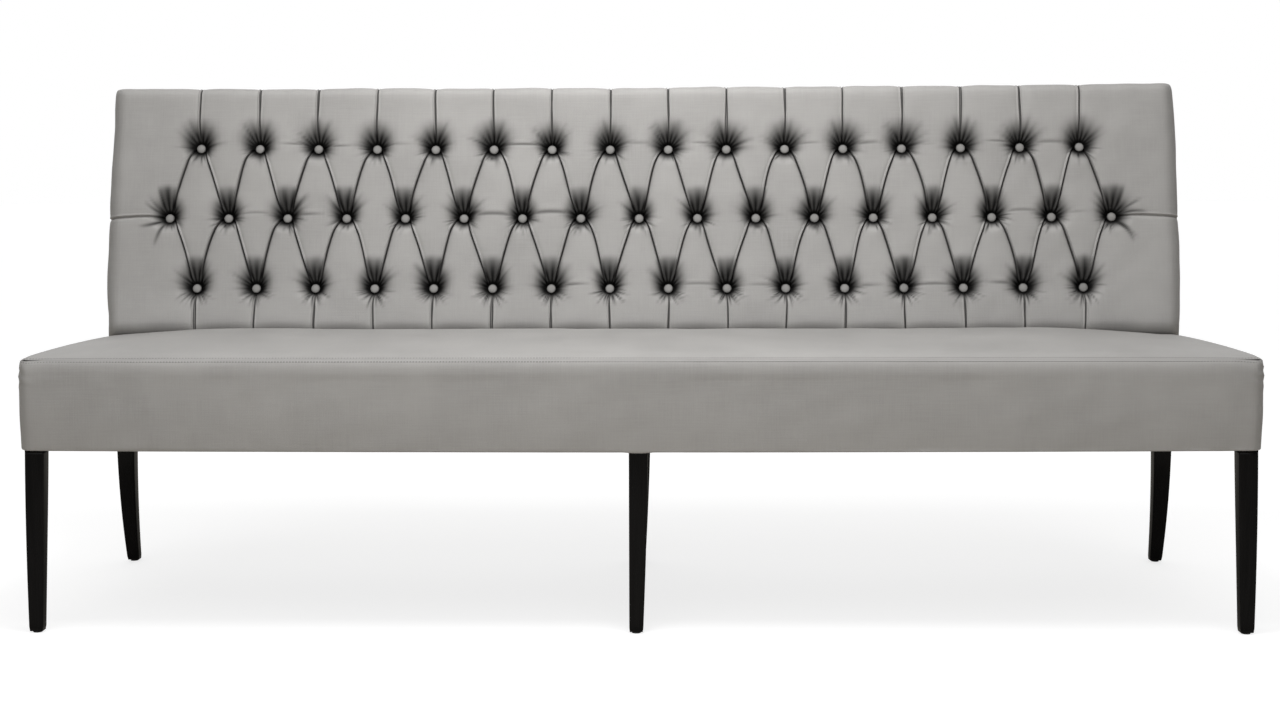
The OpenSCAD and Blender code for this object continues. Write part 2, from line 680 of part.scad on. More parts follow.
// Plain covers of the back
module back_end_cover(side) {
    low = deck_z + fit;
    high = seam_h + seat_roll;
    x = side * (half_w - cover_t / 2);
    color([0.6, 0.59, 0.57]) translate([x, 0, 0]) across(cover_t / 2, [
        [plane_y(low, inner_skin), low], [plane_y(low, seat_end_d - fit), low],
        [plane_y(high, seat_end_d - fit), high], [plane_y(high, ground_d), high],
        slope_point(back_top_s, ground_d), slope_point(back_top_s, inner_skin)]);
}
module back_end_cover_left() back_end_cover(-1);
module back_end_cover_right() back_end_cover(1);
module back_top_cover() {
    color([0.6, 0.59, 0.57]) tilt()
        back_slab(2 * panel_half_w, inner_skin, ground_d, back_top_s - cover_t, back_top_s);
}
module outside_back_cover() {
    color([0.58, 0.57, 0.55]) tilt() back_slab(bench_w, 0, cover_t, 0, back_top_s);
}

// Buttons, and the twine that pulls each one down to the board
dome_steps = 5;
module back_buttons() {
    r = button_dia / 2;
    tip = button_cone + button_rim;
    color([0.6, 0.59, 0.57]) tilt() for (p = button_places)
        translate([p[0], -button_ground_d - button_seat_h - 1.5 * fit, p[1]]) rotate([90, 0, 0])
            rotate_extrude($fn = round_n) polygon(concat(
                [[0, 0], [r, button_cone]],
                [for (k = [0 : dome_steps]) let (a = 90 * k / dome_steps)
                    [r * cos(a), tip + button_dome_h * sin(a)]]));
}
module button_twines() {
    disc_d = board_back_d - fit;
    color([0.9, 0.9, 0.86]) tilt() for (p = button_places)
        translate([p[0], -disc_d, p[1]]) rotate([90, 0, 0]) {
            translate([0, 0, -twine_disc_t]) cylinder(h = twine_disc_t, d = twine_disc_dia, $fn = round_n);
            translate([0, 0, -twine_disc_t / 2])
                cylinder(h = ground_d - disc_d + twine_disc_t / 2, d = twine_dia, $fn = round_n);
        }
}

leg_front_left();
leg_front_centre();
leg_front_right();
leg_rear_left();
leg_rear_centre();
leg_rear_right();
foot_glides();
leg_block_front_left();
leg_block_front_centre();
leg_block_front_right();
leg_block_rear_left();
leg_block_rear_centre();
leg_block_rear_right();
leg_bolts();
leg_nuts();
seat_front_rail();
seat_rear_rail();
seat_left_rail();
seat_right_rail();
seat_cross_rail();
webbing_left();
webbing_right();
seat_foam();
seat_wadding();
seat_top_cover();
seat_border_cover();
dust_cover();
stile_left();
stile_mid_left();
stile_mid_right();
stile_right();
back_top_rail();
back_middle_rail();
back_bottom_rail();
back_board();
back_foam();
tufted_cover();
back_end_cover_left();
back_end_cover_right();
back_top_cover();
outside_back_cover();
back_buttons();
button_twines();
stile_bolts();
stile_nuts();
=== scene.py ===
import math
import random

import bpy
import numpy as np
from mathutils import Euler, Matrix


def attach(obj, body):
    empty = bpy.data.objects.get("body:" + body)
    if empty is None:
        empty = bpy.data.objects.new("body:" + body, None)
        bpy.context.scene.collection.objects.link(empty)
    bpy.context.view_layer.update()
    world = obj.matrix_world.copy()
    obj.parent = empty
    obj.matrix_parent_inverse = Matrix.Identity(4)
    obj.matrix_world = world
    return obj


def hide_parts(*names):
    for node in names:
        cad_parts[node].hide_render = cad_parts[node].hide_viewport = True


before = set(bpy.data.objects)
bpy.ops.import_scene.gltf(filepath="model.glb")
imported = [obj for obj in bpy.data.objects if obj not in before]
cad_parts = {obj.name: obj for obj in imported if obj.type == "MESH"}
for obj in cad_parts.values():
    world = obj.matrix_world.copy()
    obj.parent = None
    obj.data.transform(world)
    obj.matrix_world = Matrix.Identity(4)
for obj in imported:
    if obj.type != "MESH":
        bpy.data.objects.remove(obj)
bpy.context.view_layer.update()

# Sizes in millimetres, as in the construction source. Z is up, the bench runs along X and faces -Y.
# On the back, s runs up its slope from the apron's lower edge and d forward from its outside.
HALF_W = 1100.0
FRONT_Y = -345.0
DEPTH = 690.0
HEIGHT = 990.0
APRON_Z = 331.0         # lower edge of the apron
SEAM_Z = 493.8          # seam round the seat's top
DECK_Z = 405.6          # top of the seat's frame
LEAN = math.radians(13)
BACK_T = 70.0           # d of the pads' faces
GROUND_D = 44.0         # d of the tufted cover's ground
SEAT_END_D = 54.0       # d where the seat ends at the back
SKIN = 1.6              # thickness of the cover
PANEL_HALF = HALF_W - SKIN
TOP_S = (HEIGHT - APRON_Z - (GROUND_D + 0.2) * math.sin(LEAN)) / math.cos(LEAN)
BACK_Y = DEPTH / 2 - TOP_S * math.sin(LEAN)
BUTTONS = 17
HALF_PITCH = PANEL_HALF / (BUTTONS + 1)
ROW_GAP = 147.0
ROW_TOP = TOP_S - 128.0
ROW_MID = ROW_TOP - ROW_GAP
ROW_LOW = ROW_MID - ROW_GAP


def slope_yz(s, d):
    """World y and z of a point s up the back's slope and d in front of its outside, in millimetres."""
    return (BACK_Y - d * math.cos(LEAN) + s * math.sin(LEAN),
            APRON_Z + d * math.sin(LEAN) + s * math.cos(LEAN))


def slope_at(z, d):
    """How far up the slope a height lies, d in front of the back's outside."""
    return (z - APRON_Z - d * math.sin(LEAN)) / math.cos(LEAN)


def plane_y(z, d):
    """World y of the plane d in front of the back's outside, at a height."""
    return slope_yz(slope_at(z, d), d)[0]


def smooth(t):
    """An eased step from 0 to 1."""
    t = np.clip(t, 0.0, 1.0)
    return t * t * (3 - 2 * t)


def bell(t, wide):
    """A hump of height 1 round t = 0."""
    return np.exp(-(t / wide) ** 2)


def arch(t, power):
    """A hump over t from 0 to 1, the fuller the lower the power."""
    return np.sin(np.clip(t, 0, 1) * math.pi) ** power


def round_off(t):
    """The quarter circle of a rounded edge: 1 at the edge, 0 from t = 1 on."""
    return 1 - np.sqrt(1 - (1 - np.clip(t, 0, 1)) ** 2)


def waves(rng, count, shortest, longest):
    """A smooth random field of two coordinates in millimetres, between about -1 and 1."""
    parts = []
    for _ in range(count):
        turn = rng.uniform(0, math.pi)
        k = 2 * math.pi / rng.uniform(shortest, longest)
        parts.append((k * math.cos(turn), k * math.sin(turn), rng.uniform(0, 6.28)))

    def field(a, b):
        return sum(np.sin(a * ka + b * kb + p) for ka, kb, p in parts) / math.sqrt(count)
    return field


# ---------------------------------------------------------------- meshes

def build(name, verts, faces, material, uvs=None, body="root", painted_shade=None):
    """A mesh object from millimetres; uvs are one pair per vertex, in metres; painted_shade is 0 to 1 per
    vertex, how much painted shade darkens the colour there.
    """
    mesh = bpy.data.meshes.new(name)
    mesh.from_pydata((np.asarray(verts, float) * 0.001).tolist(), [], faces)
    if uvs is not None:
        layer = mesh.uv_layers.new(name="UVMap")
        loops = np.empty(len(mesh.loops), dtype=np.int32)
        mesh.loops.foreach_get("vertex_index", loops)
        layer.data.foreach_set("uv", np.asarray(uvs, float)[loops].ravel())
    if painted_shade is not None:
        # The per-vertex painted shade that darkens the leather's colour
        depth = mesh.attributes.new("painted_shade", "FLOAT", "POINT")
        depth.data.foreach_set("value", np.asarray(painted_shade, np.float32))
    mesh.polygons.foreach_set("use_smooth", [True] * len(mesh.polygons))
    mesh.materials.append(material)
    mesh.update()
    obj = bpy.data.objects.new(name, mesh)
    bpy.context.scene.collection.objects.link(obj)
    if body:
        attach(obj, body)
    return obj


def grid_faces(rows, cols, flip=False, wrap=False):
    """Quads over vertices laid out row by row; wrap joins each row's ends."""
    out = []
    for j in range(rows - 1):
        for i in range(cols if wrap else cols - 1):
            a, b = j * cols + i, j * cols + (i + 1) % cols
            quad = (a, b, b + cols, a + cols)
            out.append(quad[::-1] if flip else quad)
    return out


def table(*grids):
    """Grids of one shape as the columns of a table."""
    return np.stack([g.ravel() for g in grids], axis=1)


def grid_object(name, x, y, z, material, uv, flip=False, painted_shade=None):
    return build(name, table(x, y, z), grid_faces(*x.shape, flip=flip), material, table(*uv) * 0.001,
                 painted_shade=None if painted_shade is None else painted_shade.ravel())


class Parts:
    """Gathers many small shapes into one mesh."""

    def __init__(self):
        self.verts, self.faces, self.uvs, self.painted_shade = [], [], [], []

    def add(self, verts, faces, uvs=None, painted_shade=None):
        base = len(self.verts)
        self.verts.extend(verts)
        self.faces.extend(tuple(base + k for k in f) for f in faces)
        self.uvs.extend(uvs if uvs is not None else [(v[0] * 0.001, v[2] * 0.001) for v in verts])
        self.painted_shade.extend(painted_shade if painted_shade is not None else [0.0] * len(verts))

    def make(self, name, material):
        return build(name, self.verts, self.faces, material, self.uvs, painted_shade=self.painted_shade)


# ------------------------------------------------------------- materials

class Nodes:
    """A node tree under construction; every call adds a node and returns one of its outputs."""

    def __init__(self, owner):
        owner.use_nodes = True
        self.tree = owner.node_tree

    def node(self, kind, inputs=None, output=0, **settings):
        n = self.tree.nodes.new(kind)
        for key, value in settings.items():
            setattr(n, key, value)
        for key, value in (inputs or {}).items():
            if isinstance(value, bpy.types.NodeSocket):
                self.tree.links.new(value, n.inputs[key])
            else:
                n.inputs[key].default_value = value
        return n.outputs[output]

    def math(self, op, a, b=0.0):
        return self.node("ShaderNodeMath", {0: a, 1: b}, operation=op)

    def span(self, value, low, high, from_low=0.0, from_high=1.0):
        return self.node("ShaderNodeMapRange", {
            "Value": value, "From Min": from_low, "From Max": from_high, "To Min": low, "To Max": high})


class Shader(Nodes):
    """A material's nodes."""

    def __init__(self, name):
        self.material = bpy.data.materials.new(name)
        super().__init__(self.material)
        self.surface = self.tree.nodes["Principled BSDF"]

    def uv(self, scale=(1, 1, 1)):
        v = self.node("ShaderNodeUVMap", uv_map="UVMap")
        return self.node("ShaderNodeMapping", {"Vector": v, "Scale": scale})

    def place(self, scale=(1, 1, 1)):
        v = self.node("ShaderNodeTexCoord", output="Object")
        return self.node("ShaderNodeMapping", {"Vector": v, "Scale": scale})

    def noise(self, vector, scale, detail=3.0, rough=0.5, distortion=0.0):
        return self.node("ShaderNodeTexNoise", {
            "Vector": vector, "Scale": scale, "Detail": detail, "Roughness": rough, "Distortion": distortion})

    def wave(self, vector, scale, direction, distortion=0.0, profile="SIN"):
        return self.node("ShaderNodeTexWave", {
            "Vector": vector, "Scale": scale, "Distortion": distortion, "Detail": 1.0, "Detail Scale": 1.5},
            wave_type="BANDS", bands_direction=direction, wave_profile=profile)

    def mix(self, factor, a, b):
        a, b = (c if isinstance(c, bpy.types.NodeSocket) else (*c, 1) for c in (a, b))
        return self.node("ShaderNodeMix", {0: factor, 6: a, 7: b}, output=2, data_type="RGBA")

    def bump(self, height, distance, strength=1.0, normal=None):
        inputs = {"Height": height, "Distance": distance, "Strength": strength}
        if normal is not None:
            inputs["Normal"] = normal
        return self.node("ShaderNodeBump", inputs)

    def finish(self, constants=None, **links):
        for key, value in (constants or {}).items():
            self.surface.inputs[key].default_value = value
        for key, value in links.items():
            self.tree.links.new(value, self.surface.inputs[key.replace("_", " ")])
        return self.material


def shaded(colour, share):
    return tuple(c * share for c in colour)


def leather(name):
    """Taupe faux leather, embossed with a fine linen weave and finished with a soft pearl sheen."""
    m = Shader(name)
    uv = m.uv()
    wobble = m.noise(uv, 22.0, 2.0)
    across = m.wave(m.uv(), 430.0, "X", 0.7)
    up = m.wave(m.uv(), 390.0, "Y", 0.7)
    weave = m.math("MULTIPLY", across, up)
    slub_h = m.noise(m.uv((14, 420, 1)), 1.0, 3.0, 0.6)
    slub_v = m.noise(m.uv((460, 16, 1)), 1.0, 3.0, 0.6)
    slubs = m.math("ADD", slub_h, slub_v)
    mottle = m.noise(uv, 5.5, 4.0, 0.55)
    fine = m.noise(uv, 900.0, 2.0, 0.6)
    taupe = (0.365, 0.356, 0.345)
    light, dark = shaded(taupe, 1.08), shaded(taupe, 0.90)
    colour = m.mix(m.span(mottle, 0.0, 1.0, 0.3, 0.7), dark, light)
    colour = m.mix(m.span(slubs, 0.0, 0.34, 0.75, 1.25), colour, shaded(light, 1.18))
    # Painted shade in the weave's grooves: the colour darkens where the embossed weave lies lowest
    colour = m.mix(m.span(weave, 0.16, 0.0), colour, shaded(dark, 0.72))
    # Painted shade: the colour darkens nearly to black and the gloss dulls as far as the mesh's painted_shade
    # attribute says, round the buttons, along the folds, at seams and where the cover is tucked in
    painted_shade = m.node("ShaderNodeAttribute", output="Fac", attribute_name="painted_shade")
    colour = m.mix(painted_shade, colour, shaded(dark, 0.02))
    height = m.math("ADD", m.math("MULTIPLY", weave, 0.5), m.math("MULTIPLY", slubs, 0.9))
    height = m.math("ADD", height, m.math("MULTIPLY", fine, 0.25))
    normal = m.bump(height, 0.00022, 0.8)
    normal = m.bump(wobble, 0.0012, 0.35, normal)
    rough = m.span(m.math("ADD", slubs, mottle), 0.48, 0.62, 1.0, 2.0)
    rough = m.math("ADD", rough, m.math("MULTIPLY", painted_shade, 0.25))
    gloss = m.math("SUBTRACT", 0.4, m.math("MULTIPLY", painted_shade, 0.36))
    return m.finish({"Metallic": 0.4}, Base_Color=colour, Roughness=rough, Specular_IOR_Level=gloss,
                    Normal=normal)


def black_wood(name):
    """Black stain under satin lacquer, with the grain just showing."""
    m = Shader(name)
    grain = m.noise(m.place((180, 180, 9)), 1.0, 5.0, 0.65, 0.6)
    pores = m.noise(m.place((900, 900, 26)), 1.0, 3.0, 0.7)
    colour = m.mix(m.span(grain, 0.0, 1.0, 0.35, 0.7), (0.0022, 0.0021, 0.0023), (0.0046, 0.0044, 0.0045))
    height = m.math("ADD", m.math("MULTIPLY", grain, 0.4), m.math("MULTIPLY", pores, 0.6))
    return m.finish({"Specular IOR Level": 0.0, "Coat Weight": 0.8, "Coat IOR": 1.25, "Coat Roughness": 0.14},
                    Base_Color=colour, Roughness=m.span(pores, 0.34, 0.52, 0.3, 0.7),
                    Normal=m.bump(height, 0.00015, 0.6))


def pine(name, light, dark):
    m = Shader(name)
    rings = m.wave(m.place((1.0, 14, 14)), 5.0, "Z", 6.0, "SAW")
    fibre = m.noise(m.place((12, 380, 380)), 1.0, 4.0, 0.6)
    colour = m.mix(rings, light, dark)
    colour = m.mix(m.span(fibre, 0.0, 0.5), colour, shaded(dark, 0.75))
    return m.finish({"Specular IOR Level": 0.3}, Base_Color=colour, Roughness=m.span(fibre, 0.55, 0.75),
                    Normal=m.bump(fibre, 0.0004, 0.5))


def foam(name, light, dark, scale):
    m = Shader(name)
    cells = m.node("ShaderNodeTexVoronoi", {"Vector": m.place(), "Scale": scale})
    puff = m.noise(m.place(), scale * 0.15, 4.0, 0.6)
    colour = m.mix(puff, dark, light)
    return m.finish({"Specular IOR Level": 0.1}, Base_Color=colour, Roughness=m.span(puff, 0.85, 0.97),
                    Normal=m.bump(cells, 0.0008, 0.7))


def woven(name, light, dark, pitch, roughness=0.8):
    """Plain weave of yarns at a pitch in metres, on object coordinates."""
    m = Shader(name)
    a = m.wave(m.place(), 0.33 / pitch, "X", 0.4)
    b = m.wave(m.place(), 0.33 / pitch, "Y", 0.4)
    weave = m.math("MAXIMUM", a, b)
    fuzz = m.noise(m.place(), 0.2 / pitch, 4.0, 0.6)
    colour = m.mix(m.math("MULTIPLY", weave, fuzz), dark, light)
    return m.finish({"Specular IOR Level": 0.25, "Sheen Weight": 0.1}, Base_Color=colour,
                    Roughness=m.span(fuzz, roughness - 0.06, roughness + 0.1),
                    Normal=m.bump(m.math("ADD", weave, fuzz), pitch * 0.2, 0.6))


def metal(name):
    m = Shader(name)
    scratch = m.noise(m.place((60, 60, 900)), 1.0, 4.0, 0.7)
    colour = m.mix(scratch, (0.50, 0.51, 0.54), (0.70, 0.71, 0.72))
    return m.finish({"Metallic": 1.0}, Base_Color=colour, Roughness=m.span(scratch, 0.24, 0.42),
                    Normal=m.bump(scratch, 0.00004, 0.4))


def nylon(name):
    m = Shader(name)
    grain = m.noise(m.place(), 1400.0, 3.0, 0.6)
    return m.finish({"Specular IOR Level": 0.4},
                    Base_Color=m.mix(grain, (0.010, 0.010, 0.011), (0.022, 0.022, 0.023)),
                    Roughness=m.span(grain, 0.42, 0.6), Normal=m.bump(grain, 0.00008, 0.5))


LEATHER = leather("grey_faux_leather")
BLACK_WOOD = black_wood("black_stained_wood")
CAMBRIC = woven("black_cambric", (0.020, 0.020, 0.021), (0.006, 0.006, 0.006), 0.0012, 0.85)
THREAD = woven("grey_thread", (0.13, 0.127, 0.122), (0.07, 0.068, 0.066), 0.0006, 0.6)


# ------------------------------------------------------- camera and light

FOCAL_PX = 1668.1       # as fitted to the photo, which is 1280 pixels wide
LOOK_DOWN, LOOK_LEFT, ROLL = 0.1134, 0.0139, -0.0023


def stand(name, data, place, rotation):
    obj = bpy.data.objects.new(name, data)
    obj.location = place
    obj.rotation_euler = rotation
    bpy.context.scene.collection.objects.link(obj)
    return obj


def camera():
    data = bpy.data.cameras.new("camera")
    data.sensor_fit = "HORIZONTAL"
    data.sensor_width = 36.0
    data.lens = FOCAL_PX / 1280 * 36.0
    data.clip_end = 100.0
    look = Euler((math.pi / 2 - LOOK_DOWN, 0.0, LOOK_LEFT), "XYZ").to_matrix()
    roll = Euler((0.0, 0.0, ROLL), "XYZ").to_matrix()
    bpy.context.scene.camera = stand("camera", data, (0.0437, -3.2394, 0.8234), (look @ roll).to_euler())


def soft_light(name, elevation, azimuth, strength, spread):
    """A distant soft light; azimuth 0 comes from straight in front of the bench, positive from its right."""
    data = bpy.data.lights.new(name, "SUN")
    data.energy = strength
    data.angle = math.radians(spread)
    stand(name, data, (0, 0, 0), (math.radians(90 - elevation), 0, math.radians(azimuth)))


def soft_box(name, place, tilt, size, power):
    """A lit panel over or before the bench, kept out of the picture and out of the lacquer."""
    data = bpy.data.lights.new(name, "AREA")
    data.shape = "RECTANGLE"
    data.size, data.size_y = size
    data.energy = power
    obj = stand(name, data, place, (math.radians(tilt), 0, 0))
    obj.visible_camera = obj.visible_glossy = False


def studio():
    m = Shader("pale_floor")
    speck = m.noise(m.place(), 3.0, 3.0)
    pale = m.mix(speck, (0.36, 0.36, 0.36), (0.38, 0.38, 0.38))
    # The pale floor throws only a little light back up, as in a large dim studio
    seen = m.node("ShaderNodeLightPath", output="Is Camera Ray")
    floor_material = m.finish({"Specular IOR Level": 0.1, "Emission Color": (1, 1, 1, 1)},
                              Base_Color=m.mix(seen, (0.42, 0.395, 0.355), pale),
                              Roughness=m.span(speck, 0.8, 0.9),
                              Emission_Strength=m.math("MULTIPLY", seen, 0.72))
    x, y = np.meshgrid(*2 * [np.linspace(-40000.0, 40000.0, 9)])
    build("floor", table(x, y, 0 * x), grid_faces(*x.shape), floor_material, body=None)

    # The surroundings brighten upwards and towards the back; the camera sees them plain white
    world = bpy.data.worlds.new("studio")
    w = Nodes(world)
    facing = w.node("ShaderNodeTexCoord", output="Generated")
    up, back = (w.node("ShaderNodeSeparateXYZ", {0: facing}, output=axis) for axis in "ZY")
    total = w.math("ADD", w.span(up, 0.05, 0.28, -0.2, 1.0), w.span(back, 0.0, 0.55, 0.0, 0.5))
    seen = w.node("ShaderNodeLightPath", output="Is Camera Ray")
    strength = w.node("ShaderNodeMix", {0: seen, 2: total, 3: 1.0})
    glow = w.tree.nodes["Background"].inputs
    w.tree.links.new(strength, glow["Strength"])
    glow["Color"].default_value = (1.0, 1.0, 1.0, 1.0)
    bpy.context.scene.world = world
    soft_light("key", 62, -4, 1.02, 56)
    soft_light("front", 8, -4, 0.55, 50)
    soft_box("overhead", (-0.05, -0.5, 2.1), 7, (1.1, 0.8), 36.0)
    soft_box("low_fill", (-0.1, -1.7, 0.5), 90, (2.2, 0.3), 4.2)
    view = bpy.context.scene.view_settings
    view.view_transform = "Standard"
    view.look = "None"
    view.exposure = 0.0


# ------------------------------------------------------------ tufted back

ROWS = (ROW_LOW, ROW_MID, ROW_TOP)
FOLDS = 2 * (BUTTONS - 1)
OUTER_X = (BUTTONS - 1) * HALF_PITCH    # of the outermost buttons, which are in the middle row
GATHER = 7.0            # half-width of the gathered strip at a button
PLEAT_HALF = 0.22       # half-width of that strip where it has closed to a pleat
TOP_ROLL = BACK_T - GROUND_D
SIDE_ROLL = 22.0
EDGE_X = PANEL_HALF - SIDE_ROLL
# Where the cover's columns lie: across half a strip, across a strip, and from the last fold to the end
EDGE_OFFSETS = [0, .45, 1, 1.7, 2.5, 3.4, 4.4, 5.6, 7, 8.8, 11.2, 14, 17.5, 22, 28, 36, 47, 61]
INNER_SHARES = np.array(EDGE_OFFSETS[:-1] + [2 * 61 - v for v in EDGE_OFFSETS[::-1]][:-1]) / 122.0
OUTER_SHARES = np.array([*EDGE_OFFSETS[:10], *np.arange(11.0, 64.0, 2.5), 66, 70, 76, 84, 95, 107]) / 107.0
SIDE_ANGLES = [math.radians(a) for a in (14, 27, 40, 52, 63, 73, 82, 90)]
TOP_ANGLES = [math.radians(a) for a in (10, 20, 31, 42, 53, 63, 72, 79, 85, 90)]
BUTTON_SEAT = 8.5       # radius that a button presses flat
DIMPLE_REACH = 75.0     # nothing round a button reaches further


def button_places():
    odd = [(k, s) for s in (ROW_TOP, ROW_LOW) for k in range(-15, 16, 2)]
    return [(k * HALF_PITCH, s) for k, s in odd] + [(k * HALF_PITCH, ROW_MID) for k in range(-16, 17, 2)]


def drift_x(x):
    """How far the hand-laid buttoning strays to the bench's left at a place along it."""
    x = np.asarray(x, float)
    return -(6.2 + 3.4 * np.sin((x - 60) / 330.0)) * smooth((1090 - np.abs(x)) / 140)


def drift_s(x, s):
    """The rows sag a little in the middle, the top one most."""
    high = 0.4 + 0.6 * smooth((np.asarray(s, float) - ROW_MID) / ROW_GAP) * smooth((TOP_S - s) / 60)
    return (1.6 - 4.2 * (1 - np.clip(np.abs(np.asarray(x, float) - 30) / 1000, 0, 1) ** 2)) * high


def side_puff(s, left=False):
    """How far the padded ends of the back stand out beyond its frame; the left one is fuller."""
    puff = 4.0 + 6.5 * arch((s - 170.0) / (TOP_S - 170.0), 0.7)
    low = 4.5 * bell(s - 262.0, 62.0) * smooth((s - 180) / 30)
    return puff + left * (low + 4.0 * smooth((s - TOP_S + 90) / 60))


def top_lift(x, s):
    """The top edge dips a little in the middle and stands highest at the bench's right."""
    t = np.asarray(x, float) / HALF_W
    return (2.0 + 2.4 * t + 3.8 * t * t) * smooth((s - TOP_S + 110) / 110)


def back_rows():
    """Places up the slope, close together at the buttons, and angles of the roll over the top edge."""
    near = [0, .7, 1.5, 2.5, 3.7, 5, 6.5, 8, 9.5, 11.2, 13, 15, 17, 19.2, 21.5, 24, 27, 30.5]
    out = set()
    for row in ROWS:
        out.update(round(row + sign * v, 3) for v in near for sign in (-1, 1))
    low_s, top_start, gap = slope_at(482.0, GROUND_D), TOP_S - TOP_ROLL, near[-1]
    for stretch in (np.linspace(ROW_LOW + gap, ROW_MID - gap, 18)[1:-1],
                    np.linspace(ROW_MID + gap, ROW_TOP - gap, 18)[1:-1],
                    np.linspace(low_s, ROW_LOW - gap, 17)[:-1],
                    np.linspace(ROW_TOP + gap, top_start, 12)[1:]):
        out.update(stretch.round(3).tolist())
    flat = sorted(out)
    return np.array(flat + [top_start] * len(TOP_ANGLES)), np.array([0.0] * len(flat) + TOP_ANGLES)


def odd_half(s, bends):
    """Half-width of an odd strip: wide between the rows, closed to a pleat above and below them."""
    def closed(gap, bend):
        return PLEAT_HALF + (GATHER - PLEAT_HALF) * (1 - smooth(gap / bend))
    out = np.empty_like(s)
    above, below = s >= ROW_TOP, s < ROW_LOW
    upper, lower = (s >= ROW_MID) & ~above, (s >= ROW_LOW) & (s < ROW_MID)
    reach = HALF_PITCH - 2 * GATHER
    out[upper] = GATHER + reach * ((ROW_TOP - s[upper]) / ROW_GAP) ** bends[0]
    out[lower] = HALF_PITCH - GATHER - reach * ((ROW_MID - s[lower]) / ROW_GAP) ** bends[1]
    out[above] = closed(s[above] - ROW_TOP, bends[2])
    out[below] = closed(ROW_LOW - s[below], bends[3])
    return out


def fold_places(rng, s_row):
    """Where the folds between the strips lie along every row, from left to right."""
    folds = []
    near = np.min([np.abs(s_row - r) for r in ROWS], axis=0)
    for k in range(FOLDS):
        odd_left = k % 2 == 1          # the fold is on the right side of an odd strip
        centre = (k - 16 + (0 if odd_left else 1)) * HALF_PITCH
        # Under the top row, the folds that go down to the left hang in the fullest bows
        upper = rng.choice([rng.uniform(0.8, 1.1), 0.62]) if odd_left else rng.uniform(0.52, 0.72)
        lower = rng.uniform(0.55, 0.75) if odd_left else rng.choice([rng.uniform(0.8, 1.1), 0.64])
        half = odd_half(s_row, (upper, lower, rng.uniform(16, 26), rng.uniform(14, 22)))
        drift = 1.6 * np.sin(s_row / rng.uniform(28, 50) + rng.uniform(0, 6.28))
        folds.append(centre + (half if odd_left else -half) + drift * smooth(near / 40))
    closed = (s_row > ROW_TOP) | (s_row < ROW_LOW)
    for k in range(1, FOLDS, 2):       # both folds of a closed pleat drift together
        middle = (folds[k - 1] + folds[k]) / 2
        half = np.clip(np.abs(folds[k] - folds[k - 1]) / 2, PLEAT_HALF, None)
        folds[k - 1] = np.where(closed, middle - half, folds[k - 1])
        folds[k] = np.where(closed, middle + half, folds[k])
    return folds


def edge_strip(fold, side):
    """Columns from an outermost fold to the pad's end and round it: x, distance to the fold, angle."""
    width = side * (side * EDGE_X - fold)
    out = [(fold + side * width * f, width * f, 0.0) for f in OUTER_SHARES]
    return out + [(np.full(len(fold), side * EDGE_X), width + SIDE_ROLL * math.sin(a), a) for a in SIDE_ANGLES]


def pad_columns(folds):
    """The cover's columns: x, distances to the folds at the left and right, angle of the roll round
    the end, whether the strip is odd, and the numbers of the two folds."""
    far = np.full(len(folds[0]), 1e3)
    out = [(x, far, q, -a, False, (0, 0)) for x, q, a in edge_strip(folds[0], -1)[::-1]]
    for k in range(1, FOLDS):
        left, wide = folds[k - 1], folds[k] - folds[k - 1]
        out += [(left + wide * f, wide * f, wide * (1 - f), 0.0, k % 2 == 1, (k - 1, k))
                for f in (INNER_SHARES[1:] if k == 1 else INNER_SHARES)]
    return out + [(x, q, far, a, False, (FOLDS - 1, FOLDS - 1)) for x, q, a in edge_strip(folds[-1], 1)]


def wrapped(angle):
    return np.angle(np.exp(1j * angle))


def dimple(rng, dx, dy):
    """The dimple that a button presses into the cover, with the small folds that run out from it."""
    r = np.hypot(dx, np.where(dy > 0, dy * 0.74, dy * 1.22))
    true_r, angle = np.hypot(dx, dy), np.arctan2(dy, dx)
    t = np.clip((r - BUTTON_SEAT) / rng.uniform(30.0, 35.0), 0, 1)
    out = -17.0 * (1 - t) ** 1.7 - 4.0 * np.exp(-np.maximum(0, r - BUTTON_SEAT) / 4.0)
    heading = 90 + rng.uniform(-12, 12)
    turns = [heading + rng.uniform(-5, 5) + 21 * k for k in (-3.4, -2.3, -1.3, -0.45, 0.45, 1.3, 2.3, 3.4)]
    turns += [rng.uniform(205, 245), rng.uniform(255, 285), rng.uniform(295, 335)]
    for turn in turns:
        up = math.sin(math.radians(turn)) > -0.1
        if rng.random() < (0.12 if up else 0.3):
            continue
        length = rng.uniform(20, 44) if up else rng.uniform(12, 22)
        deep = rng.uniform(1.0, 2.5) if up else rng.uniform(0.5, 1.1)
        bend = rng.uniform(-0.007, 0.007)
        off = wrapped(angle - math.radians(turn) - bend * true_r)
        wide = rng.uniform(1.0, 1.5) + 0.045 * true_r
        fade = smooth((true_r - 6) / 4) * (1 - smooth((true_r - length * 0.35) / (length * 0.75)))
        fade = fade * (np.abs(off) < 1.2)
        out -= deep * bell(off * true_r, wide) * fade
        out += 0.45 * deep * bell(np.abs(off) * true_r - 2.2 * wide, 1.2 * wide) * fade
    return out


